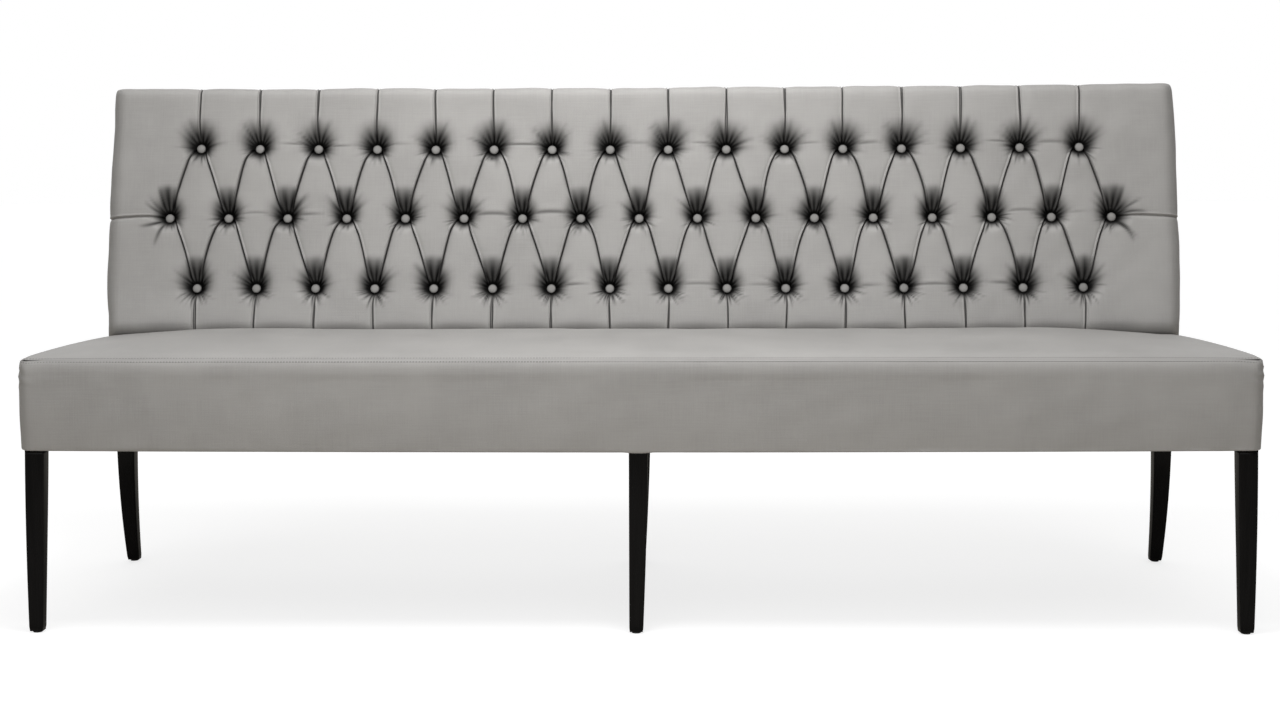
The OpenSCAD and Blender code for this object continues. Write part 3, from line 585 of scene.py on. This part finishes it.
def painted_shade_and_creases(rng, bx, bs, dx, dy):
    """The painted shade round a button, darkest close to it and along streaks that run out from it, and how
    deep its long creases are cut.
    """
    true_r, angle = np.hypot(dx, dy), np.arctan2(dy, dx)
    up, down = np.maximum(0, np.sin(angle)), np.maximum(0, -np.sin(angle))
    reach = rng.uniform(14, 19) + rng.uniform(9, 15) * up ** 1.3 - 4 * down
    for _ in range(16):                # finer rays at the rim
        ray = wrapped(angle - rng.uniform(-math.pi, math.pi))
        reach = reach + rng.uniform(1, 11) * bell(ray, rng.uniform(0.05, 0.12)) * (0.45 + 0.55 * up)
    core = 12.5 + 5.5 * up - 3.0 * down
    if bs < ROW_TOP - 1:
        # The painted shade is darkest in the wedge between the two folds that meet at the button
        wedge = smooth((7 + 0.36 * dy - np.abs(dx)) / 8) * up
        reach = reach * (0.84 + 0.56 * wedge)
        core = core + 5 * wedge
    dark = 1 - (1 - np.exp(-1.25 * (np.maximum(0, true_r - core) / reach) ** 1.7)) ** 1.7
    ripple = 0.5 + 0.5 * np.sin(angle * rng.choice([15, 17, 19]) + rng.uniform(0, 6))
    dark *= 1 - 0.22 * ripple * up * smooth((true_r - 13) / 8)

    # Single creases, with painted shade along them: direction, length, width, strength
    rays = [(math.radians(rng.choice([rng.uniform(-85, 20), rng.uniform(160, 265), rng.uniform(0, 360)])),
             rng.uniform(26, 46), rng.uniform(1.8, 3.0), rng.uniform(0.6, 1.0)) for _ in range(14)]
    if abs(bx) > OUTER_X - 1:
        # Longer ones run from the end buttons of the middle row towards the plain end of the pad
        rays += [(math.radians(90 - math.copysign(a + rng.uniform(-4, 4), bx)), rng.uniform(66, 90),
                  rng.uniform(3.4, 4.6), rng.uniform(0.75, 1.0)) for a in (50, 66, 124, 142)]
    if bs < ROW_LOW + 1:
        # Short ones fan out below the buttons of the lowest row
        rays += [(math.radians(a + rng.uniform(-6, 6)), rng.uniform(38, 50),
                  rng.uniform(1.8, 2.7), rng.uniform(0.7, 1.0)) for a in (205, 228, 250, 290, 312, 335)]
    deep = 0 * dark
    for turn, length, wide, strong in rays:
        ray = wrapped(angle - turn - rng.uniform(-0.006, 0.006) * true_r)
        crease = bell(ray * true_r, wide) * (np.abs(ray) < 1.2)
        crease *= 1 - smooth((true_r - 18) / (length - 14))
        dark = np.maximum(dark, strong * crease)
        if length > 50:
            deep += 1.5 * strong * crease * smooth((true_r - 14) / 8)
    return dark * (1 - smooth((true_r - 56) / 18)), deep


def row_folds(rng, xe, se):
    """Faint bowed folds between some neighbours of a row: the fold and the ridge above it."""
    for row, first in ((ROW_TOP, -15), (ROW_MID, -16), (ROW_LOW, -15)):
        for k in range(first, -1 - first, 2):
            if rng.random() > 0.35:
                continue
            u = (xe - (k + 1) * HALF_PITCH) / HALF_PITCH
            line = row + rng.uniform(3, 11) * (1 - u * u) + rng.uniform(-1, 3)
            strong, wide, hook = rng.uniform(0.3, 1.0), rng.uniform(2.2, 3.8), rng.choice((-1, 0, 0, 1))
            share = strong * (np.abs(u) < 1) * smooth((1 - np.abs(u)) / 0.15)
            share = share * (1 if hook == 0 else smooth(0.55 + hook * u))
            yield share * bell(se - line, wide), share * bell(se - line - 2.4 * wide, 1.3 * wide)


def tufted_back():
    rng = random.Random(11)
    s_row, theta = back_rows()
    s_eff = s_row + TOP_ROLL * np.sin(theta)
    folds = fold_places(rng, s_row)
    columns = pad_columns(folds)
    x, ql, qr = (np.array([c[i] for c in columns]).T for i in range(3))
    phi, odd, idx = (np.array([c[i] for c in columns]) for i in (3, 4, 5))
    s = np.repeat(s_row[:, None], x.shape[1], axis=1)
    # The same places on the cloth laid flat round its edges
    se = np.repeat(s_eff[:, None], x.shape[1], axis=1)
    xe = x + np.sin(phi) * SIDE_ROLL

    # The folds lean, so the distance square to them is shorter
    slope = np.gradient(np.array(folds), s_row + 1e-4 * np.arange(len(s_row)), axis=1)
    lean = 1 / np.sqrt(1 + np.clip(np.abs(slope), 0, 1.3) ** 2)
    level_l, level_r = ql, qr
    ql, qr = ql * lean[idx[:, 0]].T, qr * lean[idx[:, 1]].T
    nearest = np.minimum(ql, qr)

    # Which strips overhang: the pad whose point hangs down over the next one
    lower_zone = (s >= ROW_LOW) & (s < ROW_MID)
    pleat_zone = (s < ROW_LOW) | (s >= ROW_TOP)
    hangs = np.where(lower_zone, odd[None, :], ~odd[None, :])

    depth = np.array([[rng.uniform(4.6, 6.4)] for _ in range(FOLDS)])
    d_left, d_right = (depth[idx[:, i]].T * np.where(pleat_zone, 0.62, 1.0) for i in (0, 1))

    def cut(q):
        """The cut of a fold at a distance, 1 at its bottom."""
        return np.where(hangs, np.exp(-(q / 0.85) ** 1.6), np.exp(-(q / 1.35) ** 1.3))

    def lip(q):
        """The rolled lip of the strip that overhangs, and the pressed edge of the other one."""
        return np.where(hangs, 1.9 * bell(q - 2.3, 1.2) - 0.75 * bell(q - 6.0, 1.9), -0.9 * np.exp(-q / 4.0))

    h = np.full(x.shape, BACK_T + 1.0)
    h -= np.maximum(d_left * cut(ql), d_right * cut(qr))
    open_share = smooth((ql + qr - 6.0) / 20.0)
    h += (lip(ql) + lip(qr)) * np.where(pleat_zone, np.where(ql < qr, 0.3, 0.6), 1.0) * open_share
    h -= 2.0 * (np.exp(-level_l / 14.0) + np.exp(-level_r / 14.0)) * open_share
    slow, quick = waves(rng, 7, 160, 420), waves(rng, 9, 38, 95)
    h += 0.9 * slow(xe, se) + 0.35 * quick(xe, se)

    # Level pleat from each outermost middle button to the side
    beyond = smooth((np.abs(xe) - OUTER_X - 3) / 8)
    ds = s - (ROW_MID + 2.0 * np.sin((np.abs(xe) - OUTER_X) / 30.0))
    away = np.abs(ds)
    h -= beyond * 4.6 * np.where(ds > 0, np.exp(-(away / 1.3) ** 1.5), np.exp(-(away / 2.2) ** 1.2))
    h += beyond * np.where(ds > 0, 1.1 * bell(ds - 3.4, 1.7), 0)
    h -= beyond * 2.0 * np.exp(-away / 14.0)

    # Painted shade along the folds, under the lips and above the seat, and round the buttons
    crease = np.where(pleat_zone, 1.25, 2.0)
    painted_shade = 0.8 * np.maximum(bell(ql, crease), bell(qr, crease))
    painted_shade = np.maximum(painted_shade, np.where(hangs, 0.0, 0.30) * np.exp(-nearest / 5.0) * ~pleat_zone)
    seat_shadow = 0.26 * np.exp(-np.maximum(0, se - slope_at(SEAM_Z + 17, BACK_T)) / 6.5)
    seat_shadow *= (1 - np.exp(-nearest / 20)) * (1 - 0.7 * smooth((np.abs(xe) - OUTER_X) / 60))
    painted_shade = np.maximum(painted_shade, seat_shadow)
    for bx, bs in button_places():
        box = np.ix_(np.where(np.abs(s_eff - bs) < DIMPLE_REACH)[0],
                     np.where(np.any(np.abs(xe - bx) < DIMPLE_REACH, axis=0))[0])
        dx, dy = xe[box] - bx, se[box] - bs
        h[box] += dimple(rng, dx, dy)
        dark, deep = painted_shade_and_creases(rng, bx, bs, dx, dy)
        h[box] -= deep
        painted_shade[box] = np.maximum(painted_shade[box], dark)
    # Painted shade along the faint bowed folds as well
    for fold, ridge in row_folds(rng, xe, se):
        h -= 1.1 * fold - 0.5 * ridge
        painted_shade = np.maximum(painted_shade, 0.55 * fold)
    # No lower than the buttons' seats
    floor_h = GROUND_D + 5.0
    h = floor_h + np.logaddexp(0, (h - floor_h) / 1.5) * 1.5

    # The pad rolls under on the seat, over at the top, and round at its ends
    roll_s, low_s = slope_at(SEAM_Z + 8, BACK_T) + 14, s_row[0]
    u = np.clip((roll_s - s) / (roll_s - low_s), 0, 1)
    rise = (h - GROUND_D) * np.sqrt(np.clip(1 - u ** 2.2, 0, 1))
    cos_t, sin_t = np.cos(theta)[:, None] ** 0.72, np.sin(theta)[:, None] ** 0.72
    cos_p, sin_p = np.cos(phi)[None, :], np.sin(phi)[None, :]
    corner = 1 - 0.10 * (np.abs(sin_p) * np.abs(sin_t)) ** 3
    fade = 1 - 0.55 * smooth((theta - 1.3) / 0.27)[:, None]
    rise_top = TOP_ROLL + (rise - TOP_ROLL) * fade
    d = GROUND_D + rise * cos_t * cos_p
    s_out = s + rise_top * sin_t * corner
    side_rise = np.clip(h - GROUND_D, 12, 30) / TOP_ROLL * SIDE_ROLL
    x_out = x + (side_rise * corner + side_puff(se, x < 0)) * sin_p
    x_out, s_out = (x_out + drift_x(x_out),
                    s_out + drift_s(x_out, s_out) * smooth((TOP_S - s_out) / 50) * smooth((s_out - low_s) / 60)
                    + top_lift(x_out, s_out))
    y_out, z_out = slope_yz(s_out, d)
    # The weave runs with the cloth, so its coordinates are those of the cloth laid flat
    obj = grid_object("tufted_back_cover", x_out, y_out, z_out, LEATHER, (xe, se + 1000), painted_shade=painted_shade)
    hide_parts("tufted_cover")


def buttons():
    rng = random.Random(5)
    parts = Parts()
    seg = 28
    # Rings from the hidden rim to the crown: radius, height, and the darkening of the colour, heavy painted
    # shade at the rim where the button sinks into the cover and a little over the crown
    profile = [(9.2, -4.6, 1), (9.6, -3.4, 1), (9.7, -2.2, 1), (9.55, -1.2, 0.95), (9.1, -0.35, 0.8),
               (8.3, 0.2, 0.55), (6.9, 0.55, 0.32), (4.9, 0.85, 0.25), (2.7, 1.05, 0.22), (1.0, 1.12, 0.21)]
    shade = [ring[2] for ring in profile for _ in range(seg)] + [0.2]
    for bx, bs in button_places():
        bx, bs = bx + float(drift_x(bx)), bs + float(drift_s(bx, bs))
        lift = rng.uniform(55.0, 56.6)
        tilt_x, tilt_s = rng.uniform(-0.05, 0.05), rng.uniform(-0.05, 0.05)
        turn = rng.uniform(0, 6.28)
        verts, uvs = [], []
        for r, height, _ in profile:
            for k in range(seg):
                a = 2 * math.pi * k / seg
                pinch = 1 + (0.012 * math.sin(9 * a + turn) if height < 0 else 0.004 * math.sin(5 * a + turn))
                u, v = r * pinch * math.cos(a), r * pinch * math.sin(a)
                verts.append((bx + u, *slope_yz(bs + v, lift + height + tilt_x * u + tilt_s * v)))
                uvs.append(((bx + u * math.cos(turn) - v * math.sin(turn)) * 0.001,
                            (bs + u * math.sin(turn) + v * math.cos(turn)) * 0.001))
        verts.append((bx, *slope_yz(bs, lift + 1.14)))
        uvs.append((bx * 0.001, bs * 0.001))
        faces = grid_faces(len(profile), seg, wrap=True)
        top = (len(profile) - 1) * seg
        faces += [(top + k, top + (k + 1) % seg, len(verts) - 1) for k in range(seg)]
        parts.add(verts, faces, uvs, shade)
    obj = parts.make("covered_buttons", LEATHER)
    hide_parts("back_buttons")


# ------------------------------------------------------------------- seat

CORNER_R = 24.0
CORNER_Y = FRONT_Y + CORNER_R
SEAM_INSET = 14.0       # of the seam from the front face
SIDE_INSET = 7.5        # and from the side faces
SEAM_RX, SEAM_RY = CORNER_R - SIDE_INSET, CORNER_R - SEAM_INSET
TOP_HALF, TOP_FRONT, TOP_REAR = HALF_W - SIDE_INSET, FRONT_Y + SEAM_INSET, plane_y(SEAM_Z, SEAT_END_D)
TOP_ROLL_H = 34.0       # height of the roll below the seam
HEM_R = 3.5             # radius of the turned-under lower edge


def round_corner(x, y):
    """Moves points of the top's square-cornered plan onto one with rounded front corners."""
    u = np.clip((np.abs(x) - (TOP_HALF - SEAM_RX)) / SEAM_RX, 0, 1)
    v = np.clip(((TOP_FRONT + SEAM_RY) - y) / SEAM_RY, 0, 1)
    inside = (u > 0) & (v > 0)
    nu = u * np.sqrt(1 - v * v / 2)
    nv = v * np.sqrt(1 - u * u / 2)
    x = np.where(inside, np.sign(x) * (TOP_HALF - SEAM_RX + nu * SEAM_RX), x)
    return x, np.where(inside, TOP_FRONT + SEAM_RY - nv * SEAM_RY, y)


def seam_inset(ox, oy):
    """Distance of the seam from the seat's outer face, where that face looks along ox, oy."""
    return CORNER_R - SEAM_RX * SEAM_RY / np.hypot(SEAM_RY * ox, SEAM_RX * oy)


def end_z(v):
    """Height of the seam along the seat's ends, v from the front to the back."""
    return 4.0 * (4 * v * (1 - v)) ** 0.8 - 9.0 * v


def seat_z(x, y):
    """Height of the seat's top on a square-cornered plan."""
    rng = random.Random(3)
    v = np.clip((y - TOP_FRONT) / (TOP_REAR - TOP_FRONT), 0, 1)
    ax = np.abs(x)
    ends = 1 - np.clip((ax - 800) / (TOP_HALF - 800), 0, 1) ** 2
    from_front, from_side = y - TOP_FRONT, TOP_HALF - ax
    roll = 1 - (1 - np.clip(from_front / 44.0, 0, 1)) ** 2
    z_mid = SEAM_Z + 5.0 * roll + 10.5 * (4 * v * (1 - v)) ** 0.8 + 2.5 * bell(ax - 820, 160) * v
    z_low = SEAM_Z + 1.5 * roll + end_z(v)
    z = z_low + (z_mid - z_low) * ends - 3.0 * round_off(from_side / 12.0)
    edge = np.minimum(from_front, from_side)
    z -= 0.5 * np.exp(-(edge / 2.0) ** 1.6)
    slow, quick = waves(rng, 7, 220, 700), waves(rng, 8, 60, 150)
    z += (slow(x, y) + 0.35 * quick(x, y)) * smooth(edge / 40.0)
    # Gathers at the front corners
    corner_d = np.hypot(from_side, from_front)
    folds = 0.5 + 0.5 * np.cos(14 * np.arctan2(from_front, from_side))
    z -= 0.8 * bell(corner_d - 22, 22) * folds * smooth(corner_d / 12)
    # Down behind, where the seat meets the back
    return z - 9.0 * round_off((TOP_REAR - y) / 20.0)


def seat_top():
    near = np.array([0, .5, 1.2, 2.2, 3.5, 5, 7, 9.5, 12.5, 16, 20, 26, 34, 46, 60])
    cols = np.concatenate([-TOP_HALF + near, np.linspace(75 - TOP_HALF, TOP_HALF - 75, 118),
                           (TOP_HALF - near)[::-1]])
    rows = np.concatenate([TOP_FRONT + near, np.linspace(TOP_FRONT + 72, TOP_REAR - 30, 38),
                           TOP_REAR - np.array([24, 18, 13, 9, 6, 3.5, 1.5, 0])])
    x, y = np.meshgrid(cols, rows)
    z = seat_z(x, y)
    # Painted shade in a thin line along the seam, at the front and the ends
    painted_shade = 0.14 * bell(np.minimum(y - TOP_FRONT, TOP_HALF - np.abs(x)), 1.5)
    x, y = round_corner(x, y)
    obj = grid_object("seat_top", x, y, z, LEATHER, (x + 5000, y), painted_shade=painted_shade)
    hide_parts("seat_top_cover")


def seat_edge_z(x, y):
    """Height of the seat's seam at a place of its rim."""
    v = np.clip((y - TOP_FRONT) / (TOP_REAR - TOP_FRONT), 0, 1)
    return SEAM_Z - 0.5 + (end_z(v) - 2.5) * smooth((np.abs(x) - (TOP_HALF - 60)) / 60)


def rim_path():
    """Places along the seat's outer face from the left rear round the front to the right rear, as rows of
    x, y, outward x, outward y and the share towards the rear end. Past a share of 1 the cover is tucked in
    between the seat and the back. The ends follow the back's lean, so their y is a rough one."""
    shares = (*np.linspace(0, 1, 81)[1:], 1.015, 1.04, 1.08, 1.115)
    wide, r = HALF_W - CORNER_R, CORNER_R
    places = [(x, FRONT_Y, 0, -1, 0) for x in np.linspace(0, wide, 151)[:-1]]
    places += [(wide + r * math.cos(a), CORNER_Y + r * math.sin(a), math.cos(a), math.sin(a), 0)
               for a in np.linspace(-math.pi / 2, 0, 13)]
    places += [(HALF_W, CORNER_Y + 500 * f, 1, 0, f) for f in shares]
    right = np.array(places, float).T
    return np.hstack([right[:, :0:-1] * [[-1], [1], [-1], [1], [1]], right])


def distances(x, y):
    """How far along a line of points each of them lies."""
    return np.concatenate([[0], np.cumsum(np.hypot(np.diff(x), np.diff(y)))])


def face_inset(t, px, side, f):
    """How far the border's face lies inside the seat's outer size, t from the roll down to the hem.
    side is 1 on the ends and 0 in front, f the share towards the rear end."""
    front = 4.4 * (1 - t) ** 2 - 1.9 + 2.2 * t ** 5
    ends = np.where(px < 0, 5.5, 6.0) - 2.5 * t - 1.2 * np.sin(math.pi * t)
    return front + (ends * (1 - 0.6 * f) - front) * side


def seat_border():
    """The apron and the seat's ends in one: a roll below the seam, a flat face and the hem turned under."""
    rng = random.Random(8)
    slow, quick = waves(rng, 7, 260, 800), waves(rng, 8, 45, 120)
    px, py, ox, oy, f = rim_path()
    run = distances(px, py + 20 * f)
    end, side, flat, tucked = f > 0, np.abs(ox), np.minimum(f, 1), np.clip((f - 1) / 0.05, 0, 1)
    corner = np.where(end, 90, np.minimum(np.abs(np.abs(px) - HALF_W) + np.abs(py - FRONT_Y), 90))
    top_z, hem_z = seat_edge_z(px, py), APRON_Z - 1.6 + 3.0 * (px / HALF_W) ** 2
    face_top = SEAM_Z - TOP_ROLL_H * (1 - 0.6 * side)
    top_in, low_in = face_inset(0.0, px, side, flat), face_inset(1.0, px, side, flat)
    # Level rows from the seam down, each with its kind and its place in that kind
    levels = [("roll", math.radians(a)) for a in (90, 84, 77, 69, 60, 50, 40, 30, 20, 10)]
    levels += [("face", t) for t in np.linspace(0, 1, 30)]
    levels += [("hem", math.radians(a)) for a in (22, 45, 68, 90)] + [("under", 6.0), ("under", 14.0)]
    slack = {"roll": 0.25, "face": 1.0, "hem": 0.5, "under": 0.0}
    rows = []
    for kind, t in levels:
        if kind == "roll":
            inset = top_in + (seam_inset(ox, oy) - top_in) * (1 - math.cos(t))
            z = face_top + (top_z - face_top) * math.sin(t)
        elif kind == "face":
            inset, z = face_inset(t, px, side, flat), face_top + (hem_z + HEM_R - face_top) * t
        elif kind == "hem":
            inset, z = low_in + HEM_R * (1 - math.cos(t)), hem_z + HEM_R * (1 - math.sin(t))
        else:
            inset, z = low_in + HEM_R + t, hem_z + 0.9
        # Small puckers below the seam at the front corners
        pucker = bell(corner, 26) * bell(z - (SEAM_Z - 22), 26) * np.sin(z / 3.1 + run / 9)
        inset = inset - slack[kind] * (0.8 * slow(run, z) + 0.35 * quick(run, z) + 1.6 * pucker)
        if kind in ("hem", "under"):
            # A little lower over a leg's top
            z = z - 1.6 * np.exp(-(px / 20) ** 4)
        along = CORNER_Y + flat * (plane_y(z, SEAT_END_D) - CORNER_Y) + 100 * np.maximum(f - 1, 0)
        rows.append((px - ox * (inset + 3.6 * tucked ** 0.7), np.where(end, along, py - oy * inset), z))
    x, y, z = np.array(rows).transpose(1, 0, 2)
    parts = Parts()
    # Painted shade: a thin line along the seam, and heavy shade where the cover is tucked in between the seat
    # and the back
    parts.add(table(x, y, z), grid_faces(*x.shape), table(run + 0 * z, z) * 0.001,
              (0.14 * bell(top_z - z, 1.5) + 0.8 * tucked).ravel())
    # The ends below the deck run on to the outside back
    z, t = np.meshgrid(np.linspace(APRON_Z + 1.0, DECK_Z, 12), (0.0, 0.35, 0.7, 1.0), indexing="ij")
    y = plane_y(z, SEAT_END_D) * (1 - t) + plane_y(z, 1.2) * t
    down = np.clip((SEAM_Z - 12 - z) / (SEAM_Z - 15.5 - APRON_Z), 0, 1)
    for side, start in ((-1, run[4]), (1, run[-5])):
        x = side * (HALF_W - face_inset(down, side, 1, 1) * (1 - t) - 0.4 * t)
        parts.add(table(x, y, z), grid_faces(*x.shape, flip=(side < 0)),
                  table(start + side * 53 * t, z) * 0.001)
    obj = parts.make("seat_border", LEATHER)
    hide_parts("seat_border_cover", "seat_wadding")


def stitch_rows():
    """Two rows of topstitching, one on either side of the seat's seam."""
    parts = Parts()
    pitch, length = 5.3, 3.9
    px, py, ox, oy, _ = rim_path()[:, 4:-4]
    inset, face = seam_inset(ox, oy), 2.5 + 3.0 * np.abs(ox)
    drop = TOP_ROLL_H * (1 - 0.6 * np.abs(ox)) * (1 - math.sin(math.radians(62)))
    for lower in (True, False):
        reach = face + (inset - face) * 0.53 if lower else inset + 4.0
        x, y = px - ox * reach, py - oy * reach
        z = seat_edge_z(px, py) - drop + 0.3 if lower else seat_z(x, y)
        tilt = 0.9 if lower else 0.2
        run = distances(x, y)
        for k in range(int((run[-1] - 44) / pitch)):
            t = 22 + (k + 0.5) * pitch
            cx, cy, cz = (np.interp(t, run, c) for c in (x, y, z))
            along = np.array([np.interp(t + 1, run, x) - cx, np.interp(t + 1, run, y) - cy])
            ax, ay = along / np.hypot(*along)
            verts = []
            for e, wide in ((-0.5, 0.18), (-0.3, 0.44), (0.0, 0.5), (0.3, 0.44), (0.5, 0.18)):
                for a in np.linspace(0, 2 * math.pi, 6, endpoint=False):
                    u = wide * math.cos(a)
                    verts.append((cx + ax * e * length - ay * u * math.cos(tilt),
                                  cy + ay * e * length + ax * u * math.cos(tilt),
                                  cz + wide * math.sin(a) + 0.12 - 0.5 * abs(e) + u * math.sin(tilt)))
            parts.add(verts, grid_faces(5, 6, wrap=True) + [tuple(range(5, -1, -1)), tuple(range(24, 30))])
    parts.make("seat_topstitching", THREAD)


def dust_cover():
    rng = random.Random(2)
    half, front, rear = HALF_W - 13.0, FRONT_Y + 13.0, plane_y(APRON_Z, SKIN) - 8
    x, y = np.meshgrid(np.linspace(-half, half, 180), np.linspace(front, rear, 50))
    field, fine = waves(rng, 6, 250, 700), waves(rng, 6, 40, 110)
    edge = np.minimum(half - np.abs(x), np.minimum(y - front, rear - y))
    sag = 2.0 * smooth(edge / 160) * (0.6 + 0.4 * field(x, y)) + 0.3 * fine(x, y) * smooth(edge / 30)
    z = APRON_Z + np.minimum(0.6 - sag, 0.8)
    obj = grid_object("underside_cloth", x, y, z, CAMBRIC, (x, y), flip=True)
    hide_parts("dust_cover")


# ---------------------------------------------------------- plain covers

def back_end(side):
    word, rng = "left" if side < 0 else "right", random.Random(30 + side)
    low = DECK_Z + 0.2
    ss = np.concatenate([np.linspace(slope_at(low, 25.0), TOP_S - 12, 60),
                         TOP_S - np.array([8, 5, 2.5, 1, 0.2])])
    # The front edge is folded in behind the tufted cover and the seat's border
    ds = np.array([0.4, 1.0, 2.2, 4.0, 8, 14, 21, 28, 34, 39, 42, 43.4, 44.4, 44.8, 45.0, 45.0, 45.0])
    fold = np.array([0.0] * 13 + [0.6, 2.0, 6.0, 14.0])
    d, s = np.meshgrid(ds, ss)
    x = HALF_W - 2.6 + 2.0 * arch((d - 0.4) / 44.0, 0.6) + 0.35 * waves(rng, 6, 60, 240)(s, d)
    x -= 2.2 * (1 - smooth((TOP_S - s) / 8.0))
    x += side_puff(s, side < 0) * smooth(d / 44.0) - fold
    y, z = slope_yz(s + top_lift(side * x, s), d)
    # Level along the border's upper edge
    y[0], z[0] = plane_y(low, 0) - (ds - 0.4) * math.cos(LEAN), low
    obj = grid_object("back_end_" + word, side * x, y, z, LEATHER, (y + 3000 + fold, z), flip=(side > 0))
    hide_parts("back_end_cover_" + word)


def back_top():
    rng = random.Random(41)
    ds = np.array([0.6, 1.4, 3, 6, 11, 17, 24, 31, 37, 41, 43.5, 45])
    x, d = np.meshgrid(np.linspace(-PANEL_HALF, PANEL_HALF, 260), ds)
    s = TOP_S - 2.4 + 1.8 * arch((d - 0.6) / 44.4, 0.6) + 0.3 * waves(rng, 6, 90, 400)(x, d)
    x = x + np.sign(x) * side_puff(s) * smooth(d / 44.0) * smooth((np.abs(x) - 1040) / 55)
    y, z = slope_yz(s + top_lift(x, s), d)
    obj = grid_object("back_top", x, y, z, LEATHER, (x, d + 2000), flip=True)
    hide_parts("back_top_cover")


def outside_back():
    rng = random.Random(52)
    near = np.array([0, .4, 1.2, 2.4, 4, 7, 12, 20, 32])
    xs = np.concatenate([-HALF_W + near, np.linspace(-HALF_W + 48, HALF_W - 48, 150), (HALF_W - near)[::-1]])
    ss = np.concatenate([near, np.linspace(48, TOP_S - 48, 40), (TOP_S - near)[::-1]])
    x, s = np.meshgrid(xs, ss)
    edge = np.minimum(HALF_W - np.abs(x), np.minimum(s, TOP_S - s))
    field, fine = waves(rng, 7, 260, 900), waves(rng, 7, 50, 130)
    # The folded edge is four layers thick; the panel falls back from it
    d = 2.4 * round_off(edge / 3.0) + 1.1 * smooth((edge - 9) / 5)
    d += 0.12 * fine(x, s) * smooth(edge / 30) - 0.3 * smooth((edge - 40) / 200) * (1 + field(x, s))
    y, z = slope_yz(s + top_lift(x, s), np.clip(d, 0.0, 4))
    obj = grid_object("outside_back", x, y, z, LEATHER, (x + 9000, s), flip=True)
    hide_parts("outside_back_cover")


# ------------------------------------------------------------------- legs

def leg(name, side, edge, splay, face_y, top_w, top_d, sweep):
    """A tapered square leg with rounded corners, splayed to its side and swept to the rear."""
    rings, bend, r = 44, 7, 2.5
    top, foot, foot_w, foot_d = 331.9, 3.0, 25.0, 20.0
    verts = []
    for i in range(rings):
        t = i / (rings - 1)
        w, d = top_w + (foot_w - top_w) * t ** 1.5, top_d + (foot_d - top_d) * t ** 1.5
        cx = side * (edge + splay * t * (2 - t) - w / 2)
        cy = face_y + sweep * t ** 1.85 + d / 2
        # The last ring is drawn in, which breaks the foot's edge
        inset = r + (0.8 if i == rings - 1 else 0.0)
        for c, (sx, sy) in enumerate(((1, 1), (-1, 1), (-1, -1), (1, -1))):
            for k in range(bend):
                a = math.pi / 2 * (c + k / (bend - 1))
                verts.append((cx + sx * (w / 2 - inset) + r * math.cos(a),
                              cy + sy * (d / 2 - inset) + r * math.sin(a), top + (foot - top) * t))
    n = 4 * bend
    faces = grid_faces(rings, n, wrap=True, flip=True)
    faces += [tuple(range(n)), tuple(range((rings - 1) * n, rings * n))[::-1]]
    obj = build(name + "_turned", verts, faces, BLACK_WOOD)
    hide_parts(name)


def legs():
    front, rear = (FRONT_Y + 11.0, 34.0, 28.0, 0.0), (BACK_Y - 30.0, 37.0, 30.0, 55.0)
    for side, word in ((-1, "left"), (1, "right")):
        leg("leg_front_" + word, side, HALF_W - 11.0, 6.0, *front)
        leg("leg_rear_" + word, side, HALF_W - 11.0, 6.0, *rear)
    leg("leg_front_centre", -1, 17.0, 0.0, *front)
    leg("leg_rear_centre", -1, 18.5, 0.0, *rear)


# ------------------------------------------------------- what stays inside

def inner_materials():
    timber = pine("pale_timber", (0.62, 0.44, 0.24), (0.46, 0.29, 0.13))
    ply = pine("plywood", (0.60, 0.42, 0.22), (0.50, 0.34, 0.17))
    pads = foam("cream_foam", (0.78, 0.66, 0.38), (0.66, 0.54, 0.30), 900.0)
    wad = foam("white_wadding", (0.88, 0.87, 0.83), (0.78, 0.77, 0.73), 260.0)
    web = woven("webbing", (0.050, 0.045, 0.040), (0.014, 0.013, 0.012), 0.0022)
    twine = woven("twine", (0.72, 0.70, 0.62), (0.46, 0.44, 0.38), 0.0008)
    steel = metal("zinc_plated_steel")
    glides = nylon("black_nylon")
    kinds = (
        (("leg_bolts", "leg_nuts", "stile_bolts", "stile_nuts"), steel),
        (("webbing_left", "webbing_right"), web), (("seat_foam", "back_foam"), pads), (("seat_wadding",), wad),
        (("button_twines",), twine), (("back_board",), ply), (("foot_glides",), glides),
    )
    chosen = {name: m for names, m in kinds for name in names}
    for name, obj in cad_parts.items():
        material = chosen.get(name, timber)
        for k in range(len(obj.material_slots)):
            obj.material_slots[k].material = material


camera()
studio()
tufted_back()
buttons()
seat_top()
seat_border()
stitch_rows()
dust_cover()
for end in (-1, 1):
    back_end(end)
back_top()
outside_back()
legs()
inner_materials()
